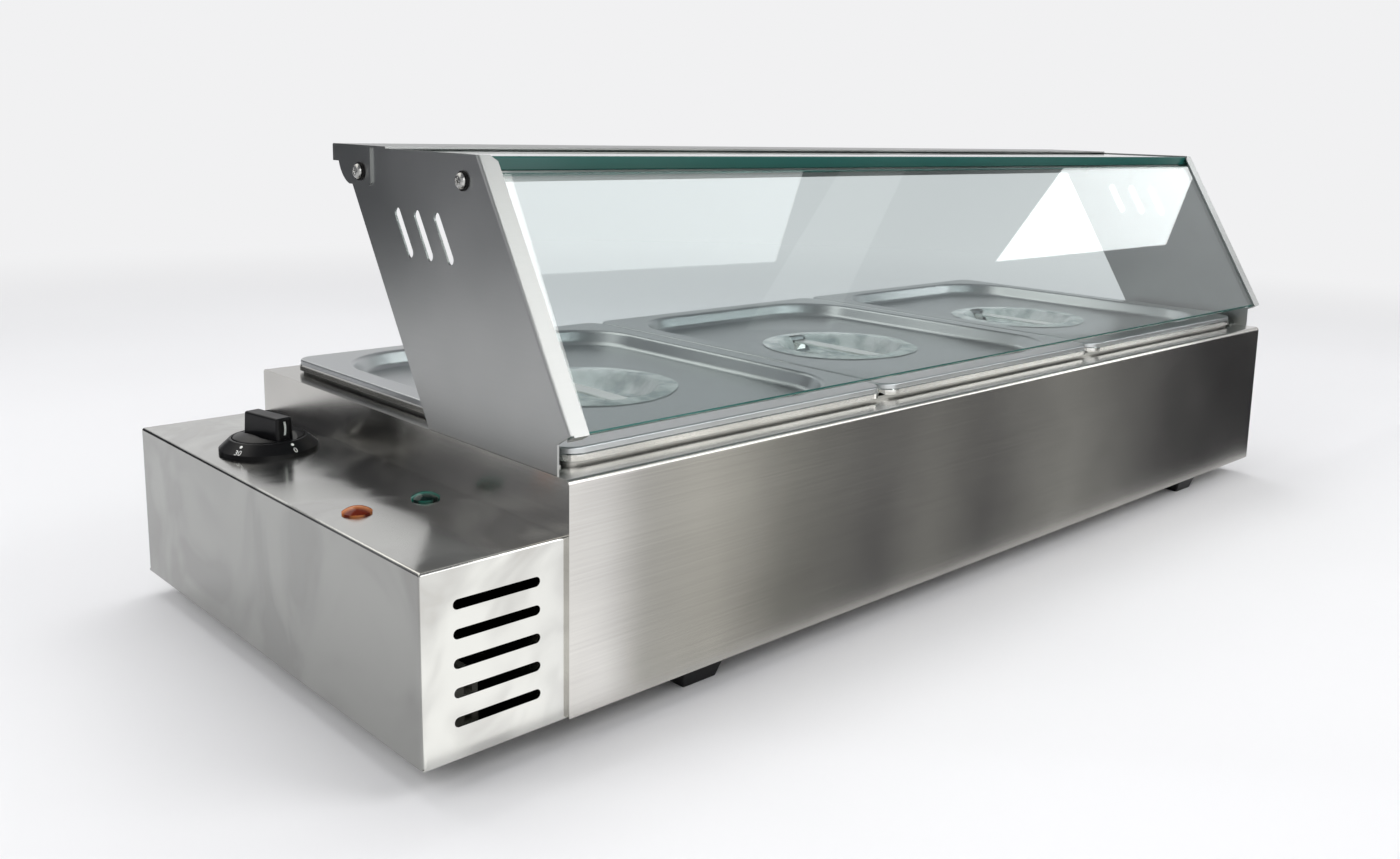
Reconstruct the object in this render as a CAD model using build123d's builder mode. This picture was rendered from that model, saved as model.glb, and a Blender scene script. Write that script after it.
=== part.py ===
"""Countertop food warmer: a water-heated well with three covered pans under a glass guard.

Millimetres, +Z up. X runs along the warmer with the control box at -X, and the customer
side is at -Y. The origin is the middle of the overall footprint, on the table.
"""

from build123d import *
from math import atan2, cos, degrees, radians, sin, tan
import os

os.makedirs("parts", exist_ok=True)

# Sheet thicknesses
shell_gauge = 1.0
guard_gauge = 1.2
tank_gauge = 0.8
pan_gauge = 0.8
lid_gauge = 0.8

# Body, and the deck round the well
body_height = 130.0
body_bend = 3.0
deck_end_width = 17.0
deck_side_width = 24.5
well_corner = 6.0
lip_height = 2.3
tank_depth = 100.0
tank_flange = 6.0
base_upturn = 14.0

# Control box on the left end
box_length = 84.0
box_height = 100.0
box_setback = 2.5
box_bend = 1.8
box_upturn = 12.0
vent_length = 50.2
vent_width = 5.3
vent_pitch = 15.2
vent_count = 5
vent_middle_height = 49.8
vent_middle_out = 41.4

# Feet
foot_height = 16.0
foot_base = 26.0
foot_top = 36.0
foot_end_inset = 104.5
foot_side_inset = 26.0
foot_edge = 1.2
foot_recess_radius = 6.0
foot_recess_depth = 7.0

# Sneeze guard: two side plates, a sloping pane, a top pane and a rear rail
guard_height = 161.3
guard_lean = 31.07
plate_inset = 1.2
plate_tab_setback = 12.0
nose_setback = 1.0
nose_height = 23.0
plate_top_rear = 239.5
plate_foot_rear = 139.5
flange_width = 12.0
flange_corner = 4.0
flange_bend = 1.6
pane_lip = 7.0
foot_flange_width = 9.5
foot_flange_start = 24.0
foot_flange_end = 130.0
slot_length = 32.5
slot_width = 6.5
slot_pitch = 22.05
slot_count = 3
slot_middle_depth = 141.6
slot_middle_height = 113.3
front_pane_thickness = 5.0
top_pane_thickness = 8.0
top_pane_drop = 0.8
pane_gap = 0.6
pane_arris = 0.8
rail_front = 181.0
rail_rear = 247.5
web_setback = 200.0
web_height = 24.0
rail_lip = 10.5
tab_bottom_end = 227.0
tab_curve_end = 240.0
tab_curve_radius = 19.5
tab_corner = 3.0
ledge_width = 14.0
ledge_height = 12.0
bracket_gauge = 2.5
bracket_length = 24.0
bracket_width = 20.0
bracket_drop = 16.0

# Guard fasteners
guard_screw_radius = 2.5
guard_screw_drop = 14.6
front_screw_setback = 98.1
rear_screw_setback = 212.4
guard_head_radius = 4.75
guard_head_height = 3.0
guard_washer_radius = 5.6
guard_washer_thickness = 1.0
guard_nut_flats = 8.0
guard_nut_height = 4.0
plate_screw_radius = 2.0
plate_screw_head_radius = 3.5
plate_screw_head_height = 2.2
plate_screw_reach = 7.0
plate_screw_end_inset = 20.0

# Pans and lids: half-size gastronorm pans in a row, their rims resting on the well's lip
pan_count = 3
pan_pitch = 265.0
pan_depth = 65.0
pan_length = 325.0
pan_rest = 4.5
pan_play = 0.6
pan_corner = 13.0
pan_rim_drop = 4.0
pan_mouth_margin = 12.3
pan_mouth_corner = 56.0
pan_wall_draw = 7.0
pan_floor_bend = 12.0
pan_mouth_edge = 1.0
rim_edge = 0.7
lid_inset = 0.8
lid_rim_height = 3.5
lid_rim_edge = 1.2
lid_recess_margin = 17.0
lid_recess_corner = 52.0
lid_recess_draw = 5.0
lid_recess_depth = 11.3
lid_mouth_bend = 3.0
lid_floor_bend = 5.0
dish_radius = 52.0
dish_floor_radius = 44.0
dish_depth = 14.2
dish_floor_bend = 6.0
strap_width = 13.0
strap_gauge = 1.5
strap_drop = 2.0
strap_leg = 7.5
strap_weld_gap = 0.5

# Thermostat, dial and knob
dial_out = 42.0
dial_depth = 262.0
thermostat_size = 38.0
thermostat_height = 26.0
thermostat_edge = 2.0
shaft_radius = 3.0
shaft_flat = 1.6
shaft_play = 0.05
shaft_seat = 16.0
shaft_reach = 15.0
shaft_hole_radius = 7.0
dial_screw_spacing = 28.0
dial_screw_radius = 2.0
dial_screw_head_radius = 3.5
dial_screw_head_height = 2.2
dial_screw_length = 8.0
bezel_radius = 29.5
bezel_rim_radius = 23.2
bezel_height = 8.4
bezel_web = 1.2
knob_radius = 21.5
knob_play = 0.4
knob_underside = 4.6
knob_shoulder = 8.6
knob_crown = 12.6
knob_edge = 1.4
trough_half = 12.0
trough_low = 8.4
trough_high = 10.6
knob_hub_radius = 6.0
knob_hub_bottom = 2.0
grip_length = 37.0
grip_width = 12.5
grip_top = 22.5
grip_corner = 2.5
grip_edge = 1.4
grip_draft = 3.0
grip_end_width = 8.0
grip_end_recess = 1.2
grip_end_top = 20.6
pointer_turn = 10.0

# Indicator lamps
lamp_depth = 106.0
amber_out = 62.0
green_out = 21.0
lens_radius = 8.0
lens_flange = 1.0
lens_height = 3.8
lens_spigot_radius = 3.6
lens_spigot = 4.0
lamp_radius = 5.0
lamp_length = 24.0
lamp_nut_flats = 14.0
lamp_nut_height = 3.0
hole_play = 0.2

# Heating element in the tank
element_radius = 4.0
element_bend = 24.0
element_height = 19.0
element_inner_half = 22.0
element_outer_half = 92.0
element_neck = 45.0
element_end_gap = 43.0
terminal_reach = 24.0
gland_flats = 19.0
gland_nut_height = 5.0
support_width = 12.0
support_gauge = 1.5
support_play = 0.1
support_pitch = 240.0
support_count = 3
window_margin = 26.0

# Bulb and capillary of the thermostat
bulb_radius = 3.0
bulb_length = 90.0
bulb_inset = 60.0
capillary_radius = 0.8
capillary_bend = 8.0
clip_width = 10.0
clip_gauge = 0.8
clip_ear = 9.0

# Mains inlet and terminals
inlet_out = 42.0
inlet_height = 32.0
inlet_thread_radius = 6.0
inlet_bore_radius = 3.6
inlet_hex_flats = 18.0
inlet_hex_height = 5.0
inlet_reach = 13.0
inlet_cap_taper = 16.0
inlet_nut_height = 4.0
terminal_ways = 3
terminal_pitch = 12.0
terminal_width = 20.0
terminal_height = 16.0
terminal_depth = 60.0
terminal_screw_width = 4.5
terminal_way_width = 5.0

# Foot screws
foot_screw_radius = 2.5
foot_screw_head_radius = 4.75
foot_screw_head_height = 3.0
foot_nut_flats = 8.0
foot_nut_height = 4.0

# Places worked out from the sizes
well_length = pan_count * pan_pitch - 2 * pan_rest
well_width = pan_length - 2 * pan_rest
body_length = well_length + 2 * deck_end_width
body_depth = well_width + 2 * deck_side_width
guard_proud = guard_washer_thickness + guard_head_height
overall_length = box_length + body_length + guard_proud
overall_depth = body_depth + inlet_reach
left = -overall_length / 2 + box_length
right = left + body_length
front = -overall_depth / 2
rear = front + body_depth
middle_x = (left + right) / 2
middle_y = (front + rear) / 2
base = foot_height
deck = base + body_height
deck_under = deck - shell_gauge
lip_top = deck + lip_height
pan_top = lip_top + pan_rim_drop
lid_top = pan_top + lid_rim_height
box_front = front + box_setback
box_depth = body_depth - box_setback
box_top = base + box_height
box_under = box_top - shell_gauge
tank_left = middle_x - well_length / 2
tank_right = middle_x + well_length / 2
tank_floor = deck_under - tank_depth
tank_under = tank_floor - tank_gauge
guard_top = deck + guard_height
rail_top = guard_top + guard_gauge
top_pane_top = guard_top - top_pane_drop
top_pane_under = top_pane_top - top_pane_thickness
plate_outer = left + plate_inset
plate_inner = plate_outer + guard_gauge
middle_plane = Plane.YZ.offset(middle_x)
lean = radians(guard_lean)
nose_y = front + nose_setback
nose_z = deck + nose_height
slope_length = (guard_height - nose_height) / cos(lean)
plate_tab_top = nose_z - (plate_tab_setback - nose_setback) * tan(lean)
near = 0.01
guard_slope = Plane(
    origin=(plate_outer, nose_y, nose_z),
    x_dir=(1, 0, 0),
    z_dir=(0, -cos(lean), sin(lean)),
)


def slope_y(height, behind):
    """Depth of the sloping plane at a height, measured a distance behind its outer face."""
    return nose_y + (height - nose_z) * tan(lean) + behind / cos(lean)


def finish(builder, name):
    """Name a finished piece and write it."""
    builder.part.label = name
    export_step(builder.part, f"parts/{name}.step")


def rounded_plate(centre_x, length_x, length_y, corner, z, height, mode=Mode.ADD):
    """A round-cornered plate on the warmer's centre line, from z up or down."""
    with BuildSketch(Plane.XY.offset(z)) as outline:
        with Locations((centre_x, middle_y)):
            RectangleRounded(length_x, length_y, corner)
    extrude(outline.sketch, amount=height, mode=mode)


def tapered_well(centre_x, mouth_x, mouth_y, corner, draw, top, depth, bend, mode):
    """A drawn well: round-cornered, narrowing by draw on each side, with a rounded floor."""
    with BuildPart(mode=Mode.PRIVATE) as well:
        with BuildSketch(Plane.XY.offset(top)) as mouth:
            with Locations((centre_x, middle_y)):
                RectangleRounded(mouth_x, mouth_y, corner)
        with BuildSketch(Plane.XY.offset(top - depth)) as floor:
            with Locations((centre_x, middle_y)):
                RectangleRounded(mouth_x - 2 * draw, mouth_y - 2 * draw, corner - draw)
        loft([mouth.sketch, floor.sketch])
        fillet(well.faces().sort_by(Axis.Z)[0].edges(), bend)
    add(well.part, mode=mode)


def level_edges(builder, z, mouth_x, mouth_y, centre_x):
    """The edges of a well's mouth: those at height z, no further out than the mouth."""
    reach_x = mouth_x / 2 + near
    reach_y = mouth_y / 2 + near
    chosen = ShapeList()
    for edge in builder.edges():
        box = edge.bounding_box()
        level = abs(box.min.Z - z) < near and abs(box.max.Z - z) < near
        inside_x = max(centre_x - box.min.X, box.max.X - centre_x) < reach_x
        inside_y = max(middle_y - box.min.Y, box.max.Y - middle_y) < reach_y
        if level and inside_x and inside_y:
            chosen.append(edge)
    return chosen


# Body: deck and four walls folded from one sheet, open over the well
window_low = tank_floor + element_height - window_margin
window_height = 2 * window_margin
window_width = 2 * (element_inner_half + window_margin)

with BuildPart() as body_shell:
    with BuildSketch(Plane.XY.offset(base)):
        with Locations((middle_x, middle_y)):
            Rectangle(body_length, body_depth)
    extrude(amount=body_height)
    fillet(body_shell.edges().filter_by(Axis.X).group_by(Axis.Z)[-1], body_bend)
    offset(amount=-shell_gauge, openings=body_shell.faces().sort_by(Axis.Z)[0])
    rounded_plate(
        middle_x,
        well_length + 2 * tank_gauge,
        well_width + 2 * tank_gauge,
        well_corner + tank_gauge,
        deck,
        -shell_gauge,
        Mode.SUBTRACT,
    )
    with BuildSketch(Plane.YZ.offset(left)):
        with Locations((middle_y, window_low + window_height / 2)):
            Rectangle(window_width, window_height)
    extrude(amount=shell_gauge, mode=Mode.SUBTRACT)
    plate_screw_x = plate_inner + foot_flange_width / 2
    plate_screw_y_front = front + foot_flange_start + plate_screw_end_inset
    plate_screw_y_rear = front + foot_flange_end - plate_screw_end_inset
    plate_screw_places = [
        (x, y)
        for x in (plate_screw_x, 2 * middle_x - plate_screw_x)
        for y in (plate_screw_y_front, plate_screw_y_rear)
    ]
    with Locations(*[(x, y, deck) for x, y in plate_screw_places]):
        Hole(plate_screw_radius, depth=shell_gauge)
finish(body_shell, "body_shell")

# Tank: a folded and welded tray; its wall stands proud of the deck as the lip that carries
# the pans, and a narrow flange welds it under the deck
element_z = tank_floor + element_height
element_ends = [
    (middle_y - element_inner_half, element_z),
    (middle_y + element_inner_half, element_z),
]

with BuildPart() as water_tank:
    rounded_plate(
        middle_x,
        well_length + 2 * tank_gauge,
        well_width + 2 * tank_gauge,
        well_corner + tank_gauge,
        tank_under,
        lip_top - tank_under,
    )
    offset(amount=-tank_gauge, openings=water_tank.faces().sort_by(Axis.Z)[-1])
    with BuildSketch(Plane.XY.offset(deck_under)):
        with Locations((middle_x, middle_y)):
            flange_length = well_length + 2 * tank_flange
            flange_depth = well_width + 2 * tank_flange
            RectangleRounded(flange_length, flange_depth, well_corner + tank_flange)
            RectangleRounded(well_length, well_width, well_corner, mode=Mode.SUBTRACT)
    extrude(amount=-tank_gauge)
    with BuildSketch(Plane.YZ.offset(tank_left)):
        with Locations(*element_ends):
            Circle(element_radius)
    extrude(amount=-tank_gauge, mode=Mode.SUBTRACT)
finish(water_tank, "water_tank")

# Base plate: a shallow tray that closes the body from below
foot_centres = [
    (x, y)
    for x in (left + foot_end_inset, right - foot_end_inset)
    for y in (front + foot_side_inset, rear - foot_side_inset)
]

with BuildPart() as base_plate:
    with BuildSketch(Plane.XY.offset(base)):
        with Locations((middle_x, middle_y)):
            Rectangle(body_length - 2 * shell_gauge, body_depth - 2 * shell_gauge)
    extrude(amount=base_upturn)
    offset(amount=-shell_gauge, openings=base_plate.faces().sort_by(Axis.Z)[-1])
    with Locations(*[(x, y, base + shell_gauge) for x, y in foot_centres]):
        Hole(foot_screw_radius + hole_play, depth=shell_gauge)
finish(base_plate, "base_plate")

# Control box cover: top, outer end, front and rear folded from one sheet
vent_middle_x = left - vent_middle_out
vent_middle_z = base + vent_middle_height
dial_x = left - dial_out
dial_y = front + dial_depth
lamp_y = front + lamp_depth
lamp_places = [(left - amber_out, lamp_y), (left - green_out, lamp_y)]
dial_screw_places = [
    (dial_x - dial_screw_spacing / 2, dial_y),
    (dial_x + dial_screw_spacing / 2, dial_y),
]
inlet_x = left - inlet_out
inlet_z = base + inlet_height

with BuildPart() as control_box_cover:
    with BuildSketch(Plane.XY.offset(base + shell_gauge)):
        with Locations((left, box_front)):
            Rectangle(box_length, box_depth, align=(Align.MAX, Align.MIN))
    extrude(amount=box_height - shell_gauge)
    folds = (
        control_box_cover.edges().filter_by(Axis.X).group_by(Axis.Z)[-1]
        + control_box_cover.edges().filter_by(Axis.Z).group_by(Axis.X)[0]
        + control_box_cover.edges().filter_by(Axis.Y).group_by(Axis.Z)[-1].sort_by(Axis.X)[:1]
    )
    fillet(folds, box_bend)
    offset(
        amount=-shell_gauge,
        openings=[
            control_box_cover.faces().sort_by(Axis.Z)[0],
            control_box_cover.faces().sort_by(Axis.X)[-1],
        ],
    )
    with BuildSketch(Plane.XZ.offset(-box_front)):
        with Locations((vent_middle_x, vent_middle_z)):
            with GridLocations(vent_length, vent_pitch, 1, vent_count):
                SlotOverall(vent_length, vent_width)
    extrude(amount=-shell_gauge, mode=Mode.SUBTRACT)
    with Locations((dial_x, dial_y, box_top)):
        Hole(shaft_hole_radius, depth=shell_gauge)
    with Locations(*[(x, y, box_top) for x, y in dial_screw_places]):
        Hole(dial_screw_radius + hole_play, depth=shell_gauge)
    with Locations(*[(x, y, box_top) for x, y in lamp_places]):
        Hole(lamp_radius + hole_play, depth=shell_gauge)
    with BuildSketch(Plane.XZ.offset(-rear)):
        with Locations((inlet_x, inlet_z)):
            Circle(inlet_thread_radius + hole_play)
    extrude(amount=shell_gauge, mode=Mode.SUBTRACT)
finish(control_box_cover, "control_box_cover")

# Control box base: a plate with edges turned up inside the cover
with BuildPart() as control_box_base:
    with BuildSketch(Plane.XY.offset(base)):
        with Locations((left, box_front)):
            Rectangle(box_length, box_depth, align=(Align.MAX, Align.MIN))
    extrude(amount=shell_gauge)
    with BuildSketch(Plane.XY.offset(base + shell_gauge)):
        with Locations((left, box_front + shell_gauge)):
            Rectangle(
                box_length - shell_gauge,
                box_depth - 2 * shell_gauge,
                align=(Align.MAX, Align.MIN),
            )
        with Locations((left, box_front + 2 * shell_gauge)):
            Rectangle(
                box_length - 2 * shell_gauge,
                box_depth - 4 * shell_gauge,
                align=(Align.MAX, Align.MIN),
                mode=Mode.SUBTRACT,
            )
    extrude(amount=box_upturn)
    corners = control_box_base.edges().filter_by(Axis.Z).group_by(Axis.X)[1]
    fillet(corners, box_bend - shell_gauge)
finish(control_box_base, "control_box_base")

# Feet: four-sided moulded feet, wider at the top, screwed through the base plate
foot_names = ["foot_front_left", "foot_rear_left", "foot_front_right", "foot_rear_right"]
for foot_name, (foot_x, foot_y) in zip(foot_names, foot_centres):
    with BuildPart() as foot:
        with BuildSketch(Plane.XY):
            with Locations((foot_x, foot_y)):
                RectangleRounded(foot_base, foot_base, foot_edge)
        with BuildSketch(Plane.XY.offset(foot_height)):
            with Locations((foot_x, foot_y)):
                RectangleRounded(foot_top, foot_top, foot_edge)
        loft()
        with BuildSketch(Plane.XY):
            with Locations((foot_x, foot_y)):
                Circle(foot_recess_radius)
        extrude(amount=foot_recess_depth, mode=Mode.SUBTRACT)
        with BuildSketch(Plane.XY):
            with Locations((foot_x, foot_y)):
                Circle(foot_screw_radius + hole_play)
        extrude(amount=foot_height, mode=Mode.SUBTRACT)
    finish(foot, foot_name)

foot_nut_z = base + shell_gauge

with BuildPart() as foot_screws:
    with BuildSketch(Plane.XY.offset(foot_recess_depth)):
        with Locations(*foot_centres):
            Circle(foot_screw_head_radius)
    extrude(amount=-foot_screw_head_height)
    with BuildSketch(Plane.XY.offset(foot_recess_depth)):
        with Locations(*foot_centres):
            Circle(foot_screw_radius)
    extrude(amount=foot_nut_z + foot_nut_height - foot_recess_depth)
finish(foot_screws, "foot_screws")

with BuildPart() as foot_nuts:
    with BuildSketch(Plane.XY.offset(foot_nut_z)):
        with Locations(*foot_centres):
            RegularPolygon(foot_nut_flats / 2, 6, major_radius=False)
            Circle(foot_screw_radius, mode=Mode.SUBTRACT)
    extrude(amount=foot_nut_height)
finish(foot_nuts, "foot_nuts")

# Side plates: folded sheet with a sloping front flange, a foot flange and three vents
guard_screw_z = guard_top - guard_screw_drop
rear_edge_lean = atan2(plate_top_rear - plate_foot_rear, guard_height)

with BuildPart() as side_plate_left:
    with BuildSketch(Plane.YZ.offset(plate_outer)):
        with BuildLine():
            Polyline(
                (front + plate_tab_setback, deck),
                (front + plate_tab_setback, plate_tab_top),
                (nose_y, nose_z),
                (slope_y(guard_top, 0), guard_top),
                (front + plate_top_rear, guard_top),
                (front + plate_foot_rear, deck),
                close=True,
            )
        make_face()
        slot_turn = 90 - degrees(rear_edge_lean)
        for slot_number in range(slot_count):
            slot_offset = (slot_number - (slot_count - 1) / 2) * slot_pitch
            with Locations((front + slot_middle_depth + slot_offset, deck + slot_middle_height)):
                SlotOverall(slot_length, slot_width, rotation=slot_turn, mode=Mode.SUBTRACT)
        with Locations(
            (front + front_screw_setback, guard_screw_z),
            (front + rear_screw_setback, guard_screw_z),
        ):
            Circle(guard_screw_radius + hole_play, mode=Mode.SUBTRACT)
    extrude(amount=guard_gauge)
    with BuildSketch(guard_slope):
        Rectangle(flange_width, slope_length + guard_gauge, align=(Align.MIN, Align.MIN))
    extrude(amount=-guard_gauge)
    split(bisect_by=Plane.XY.offset(guard_top), keep=Keep.BOTTOM)
    fold = side_plate_left.edges().filter_by(
        lambda edge: edge.length > slope_length - near and abs(edge.center().X - plate_outer) < near
    )
    fillet(fold.sort_by(Axis.Y)[0], flange_bend)
    with BuildSketch(guard_slope):
        with BuildLine():
            Polyline(
                (flange_width - flange_corner, slope_length + guard_gauge),
                (flange_width - flange_corner, slope_length),
                (flange_width + flange_corner, slope_length - 2 * flange_corner),
                (flange_width + flange_corner, slope_length + guard_gauge),
                close=True,
            )
        make_face()
    extrude(amount=-guard_gauge, mode=Mode.SUBTRACT)
    with BuildSketch(guard_slope):
        with Locations((flange_width, 0)):
            Rectangle(
                flange_width - 2 * guard_gauge,
                guard_gauge,
                align=(Align.MAX, Align.MAX),
            )
    extrude(amount=-pane_lip)
    with BuildSketch(Plane.XY.offset(deck)):
        with Locations((plate_inner, front + foot_flange_start)):
            Rectangle(
                foot_flange_width,
                foot_flange_end - foot_flange_start,
                align=(Align.MIN, Align.MIN),
            )
    extrude(amount=guard_gauge)
    with Locations(
        (plate_screw_x, plate_screw_y_front, deck + guard_gauge),
        (plate_screw_x, plate_screw_y_rear, deck + guard_gauge),
    ):
        Hole(plate_screw_radius + hole_play, depth=guard_gauge)
finish(side_plate_left, "side_plate_left")

with BuildPart() as side_plate_right:
    mirror(side_plate_left.part, about=middle_plane)
finish(side_plate_right, "side_plate_right")

with BuildPart() as plate_screws:
    with BuildSketch(Plane.XY.offset(deck + guard_gauge)):
        with Locations(*plate_screw_places):
            Circle(plate_screw_head_radius)
    extrude(amount=plate_screw_head_height)
    chamfer(plate_screws.faces().group_by(Axis.Z)[-1].edges(), plate_screw_head_height / 2)
    with BuildSketch(Plane.XY.offset(deck + guard_gauge)):
        with Locations(*plate_screw_places):
            Circle(plate_screw_radius)
    extrude(amount=-plate_screw_reach)
finish(plate_screws, "plate_screws")

# Sloping front pane: behind the flanges, standing on the plates' bent lips
pane_length = body_length - 2 * (plate_inset + guard_gauge + pane_gap)
pane_left = plate_inner + pane_gap
pane_height = (top_pane_under - pane_gap - nose_z + guard_gauge * sin(lean)) / cos(lean)

with BuildPart() as front_glass:
    with BuildSketch(guard_slope.offset(-guard_gauge)):
        with Locations((pane_left - plate_outer, 0)):
            Rectangle(pane_length, pane_height, align=(Align.MIN, Align.MIN))
    extrude(amount=-front_pane_thickness)
    chamfer(front_glass.edges().filter_by(Axis.X), pane_arris)
finish(front_glass, "front_glass")

# Top pane: level, from behind the flanges back under the rail
top_pane_front = slope_y(top_pane_top, guard_gauge) + pane_gap
top_pane_rear = front + web_setback - pane_gap

with BuildPart() as top_glass:
    with BuildSketch(Plane.XY.offset(top_pane_under)):
        with Locations((pane_left, top_pane_front)):
            Rectangle(
                pane_length,
                top_pane_rear - top_pane_front,
                align=(Align.MIN, Align.MIN),
            )
    extrude(amount=top_pane_thickness)
    chamfer(top_glass.edges().filter_by(Axis.X), pane_arris)
finish(top_glass, "top_glass")

# Rear rail: a folded channel over the plates, with shaped end tabs outside them
web_front = front + web_setback
web_bottom = rail_top - web_height

with BuildPart() as rear_rail:
    with BuildSketch(Plane.XY.offset(guard_top)):
        with Locations((middle_x, front + rail_front)):
            Rectangle(body_length, rail_rear - rail_front, align=(Align.CENTER, Align.MIN))
    extrude(amount=guard_gauge)
    with BuildSketch(Plane.XY.offset(web_bottom)):
        with Locations((middle_x, web_front)):
            Rectangle(
                body_length - 2 * (plate_inset + guard_gauge + hole_play),
                guard_gauge,
                align=(Align.CENTER, Align.MIN),
            )
    extrude(amount=guard_top - web_bottom)
    with BuildSketch(Plane.XY.offset(rail_top)):
        with Locations((middle_x, front + rail_rear)):
            Rectangle(body_length, guard_gauge, align=(Align.CENTER, Align.MAX))
    extrude(amount=-rail_lip)
    with BuildSketch(Plane.YZ.offset(left)) as tab_outline:
        with BuildLine():
            tab_sides = Polyline(
                (front + tab_curve_end, rail_top - rail_lip),
                (front + rail_rear, rail_top - rail_lip),
                (front + rail_rear, rail_top),
                (web_front, rail_top),
                (web_front, web_bottom),
                (front + tab_bottom_end, web_bottom),
            )
            RadiusArc(tab_sides @ 1, tab_sides @ 0, -tab_curve_radius)
        make_face()
        fillet(tab_outline.vertices().group_by(Axis.Y)[0], tab_corner)
        with Locations((front + rear_screw_setback, guard_screw_z)):
            Circle(guard_screw_radius + hole_play, mode=Mode.SUBTRACT)
    extrude(amount=plate_inset)
    mirror(rear_rail.part, about=middle_plane)
    outer_folds = rear_rail.edges().filter_by(Axis.X).group_by(Axis.Z)[-1].sort_by(Axis.Y)[-1]
    fillet(outer_folds, guard_gauge)
finish(rear_rail, "rear_rail")

# Angle under the rear edge of the top pane, fixed to the rail's web
with BuildPart() as glass_ledge:
    with BuildSketch(Plane.YZ.offset(plate_inner + pane_gap)):
        with BuildLine():
            Polyline(
                (web_front, top_pane_under),
                (web_front - ledge_width, top_pane_under),
                (web_front - ledge_width, top_pane_under - guard_gauge),
                (web_front - guard_gauge, top_pane_under - guard_gauge),
                (web_front - guard_gauge, top_pane_under - ledge_height),
                (web_front, top_pane_under - ledge_height),
                close=True,
            )
        make_face()
    extrude(amount=pane_length)
finish(glass_ledge, "glass_ledge")

# Angle brackets under the front corners of the top pane, tapped for the front screws
with BuildPart() as glass_bracket_left:
    with BuildSketch(Plane.YZ.offset(plate_inner)):
        with Locations((front + front_screw_setback, top_pane_under)):
            Rectangle(bracket_length, bracket_drop, align=(Align.CENTER, Align.MAX))
        with Locations((front + front_screw_setback, guard_screw_z)):
            Circle(guard_screw_radius, mode=Mode.SUBTRACT)
    extrude(amount=bracket_gauge)
    with BuildSketch(Plane.XY.offset(top_pane_under)):
        with Locations((plate_inner, front + front_screw_setback)):
            Rectangle(bracket_width, bracket_length, align=(Align.MIN, Align.CENTER))
    extrude(amount=-guard_gauge)
finish(glass_bracket_left, "glass_bracket_left")

with BuildPart() as glass_bracket_right:
    mirror(glass_bracket_left.part, about=middle_plane)
finish(glass_bracket_right, "glass_bracket_right")

# Guard screws, washers and nuts: front ones into the brackets, rear ones through the tabs
screw_rows = [
    (front_screw_setback, plate_outer, plate_inner + bracket_gauge),
    (rear_screw_setback, left, plate_inner + guard_nut_height),
]

with BuildPart() as guard_screws:
    for setback, seat_x, tip_x in screw_rows:
        with BuildSketch(Plane.YZ.offset(seat_x - guard_washer_thickness)):
            with Locations((front + setback, guard_screw_z)):
                Circle(guard_head_radius)
        extrude(amount=-guard_head_height)
        with BuildSketch(Plane.YZ.offset(seat_x - guard_washer_thickness)):
            with Locations((front + setback, guard_screw_z)):
                Circle(guard_screw_radius)
        extrude(amount=tip_x - seat_x + guard_washer_thickness)
    crowns = guard_screws.edges().filter_by(GeomType.CIRCLE).filter_by(
        lambda edge: abs(edge.radius - guard_head_radius) < near
        and min(abs(edge.center().X - row[1] + guard_proud) for row in screw_rows) < near
    )
    chamfer(crowns, guard_head_height / 3)
    mirror(guard_screws.part, about=middle_plane)
finish(guard_screws, "guard_screws")

with BuildPart() as guard_washers:
    for setback, seat_x, tip_x in screw_rows:
        with BuildSketch(Plane.YZ.offset(seat_x)):
            with Locations((front + setback, guard_screw_z)):
                Circle(guard_washer_radius)
                Circle(guard_screw_radius, mode=Mode.SUBTRACT)
        extrude(amount=-guard_washer_thickness)
    mirror(guard_washers.part, about=middle_plane)
finish(guard_washers, "guard_washers")

with BuildPart() as guard_nuts:
    with BuildSketch(Plane.YZ.offset(plate_inner)):
        with Locations((front + rear_screw_setback, guard_screw_z)):
            RegularPolygon(guard_nut_flats / 2, 6, major_radius=False)
            Circle(guard_screw_radius, mode=Mode.SUBTRACT)
    extrude(amount=guard_nut_height)
    mirror(guard_nuts.part, about=middle_plane)
finish(guard_nuts, "guard_nuts")

# Pans and lids
pan_plan_x = pan_pitch - pan_play
pan_plan_y = pan_length - pan_play
mouth_x = pan_pitch - 2 * pan_mouth_margin
mouth_y = pan_length - 2 * pan_mouth_margin
lid_plan_x = pan_plan_x - 2 * lid_inset
lid_plan_y = pan_plan_y - 2 * lid_inset
recess_x = pan_pitch - 2 * lid_recess_margin
recess_y = pan_length - 2 * lid_recess_margin
lid_floor = lid_top - lid_recess_depth
dish_floor = lid_floor - dish_depth
dish_slope = (dish_radius - dish_floor_radius) / dish_depth
strap_top = lid_floor - strap_drop
strap_foot = strap_top - strap_leg


def dish_wall(height):
    """Radius of the lid's round dish at a height."""
    return dish_radius - (lid_floor - height) * dish_slope


def dish(centre_x, thickness, mode):
    """The round dish in a lid's floor, its form grown by a sheet thickness."""
    bend = dish_floor_bend + thickness
    with BuildSketch(Plane.XZ.offset(-middle_y)) as section:
        with BuildLine():
            Polyline(
                (centre_x, lid_floor),
                (centre_x + dish_radius + thickness, lid_floor),
                (centre_x + dish_floor_radius + thickness, dish_floor - thickness),
                (centre_x, dish_floor - thickness),
                close=True,
            )
        make_face()
        fillet(section.vertices().group_by(Axis.Y)[0].sort_by(Axis.X)[-1], bend)
    revolve(section.sketch, axis=Axis((centre_x, middle_y, 0), (0, 0, 1)), mode=mode)


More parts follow.
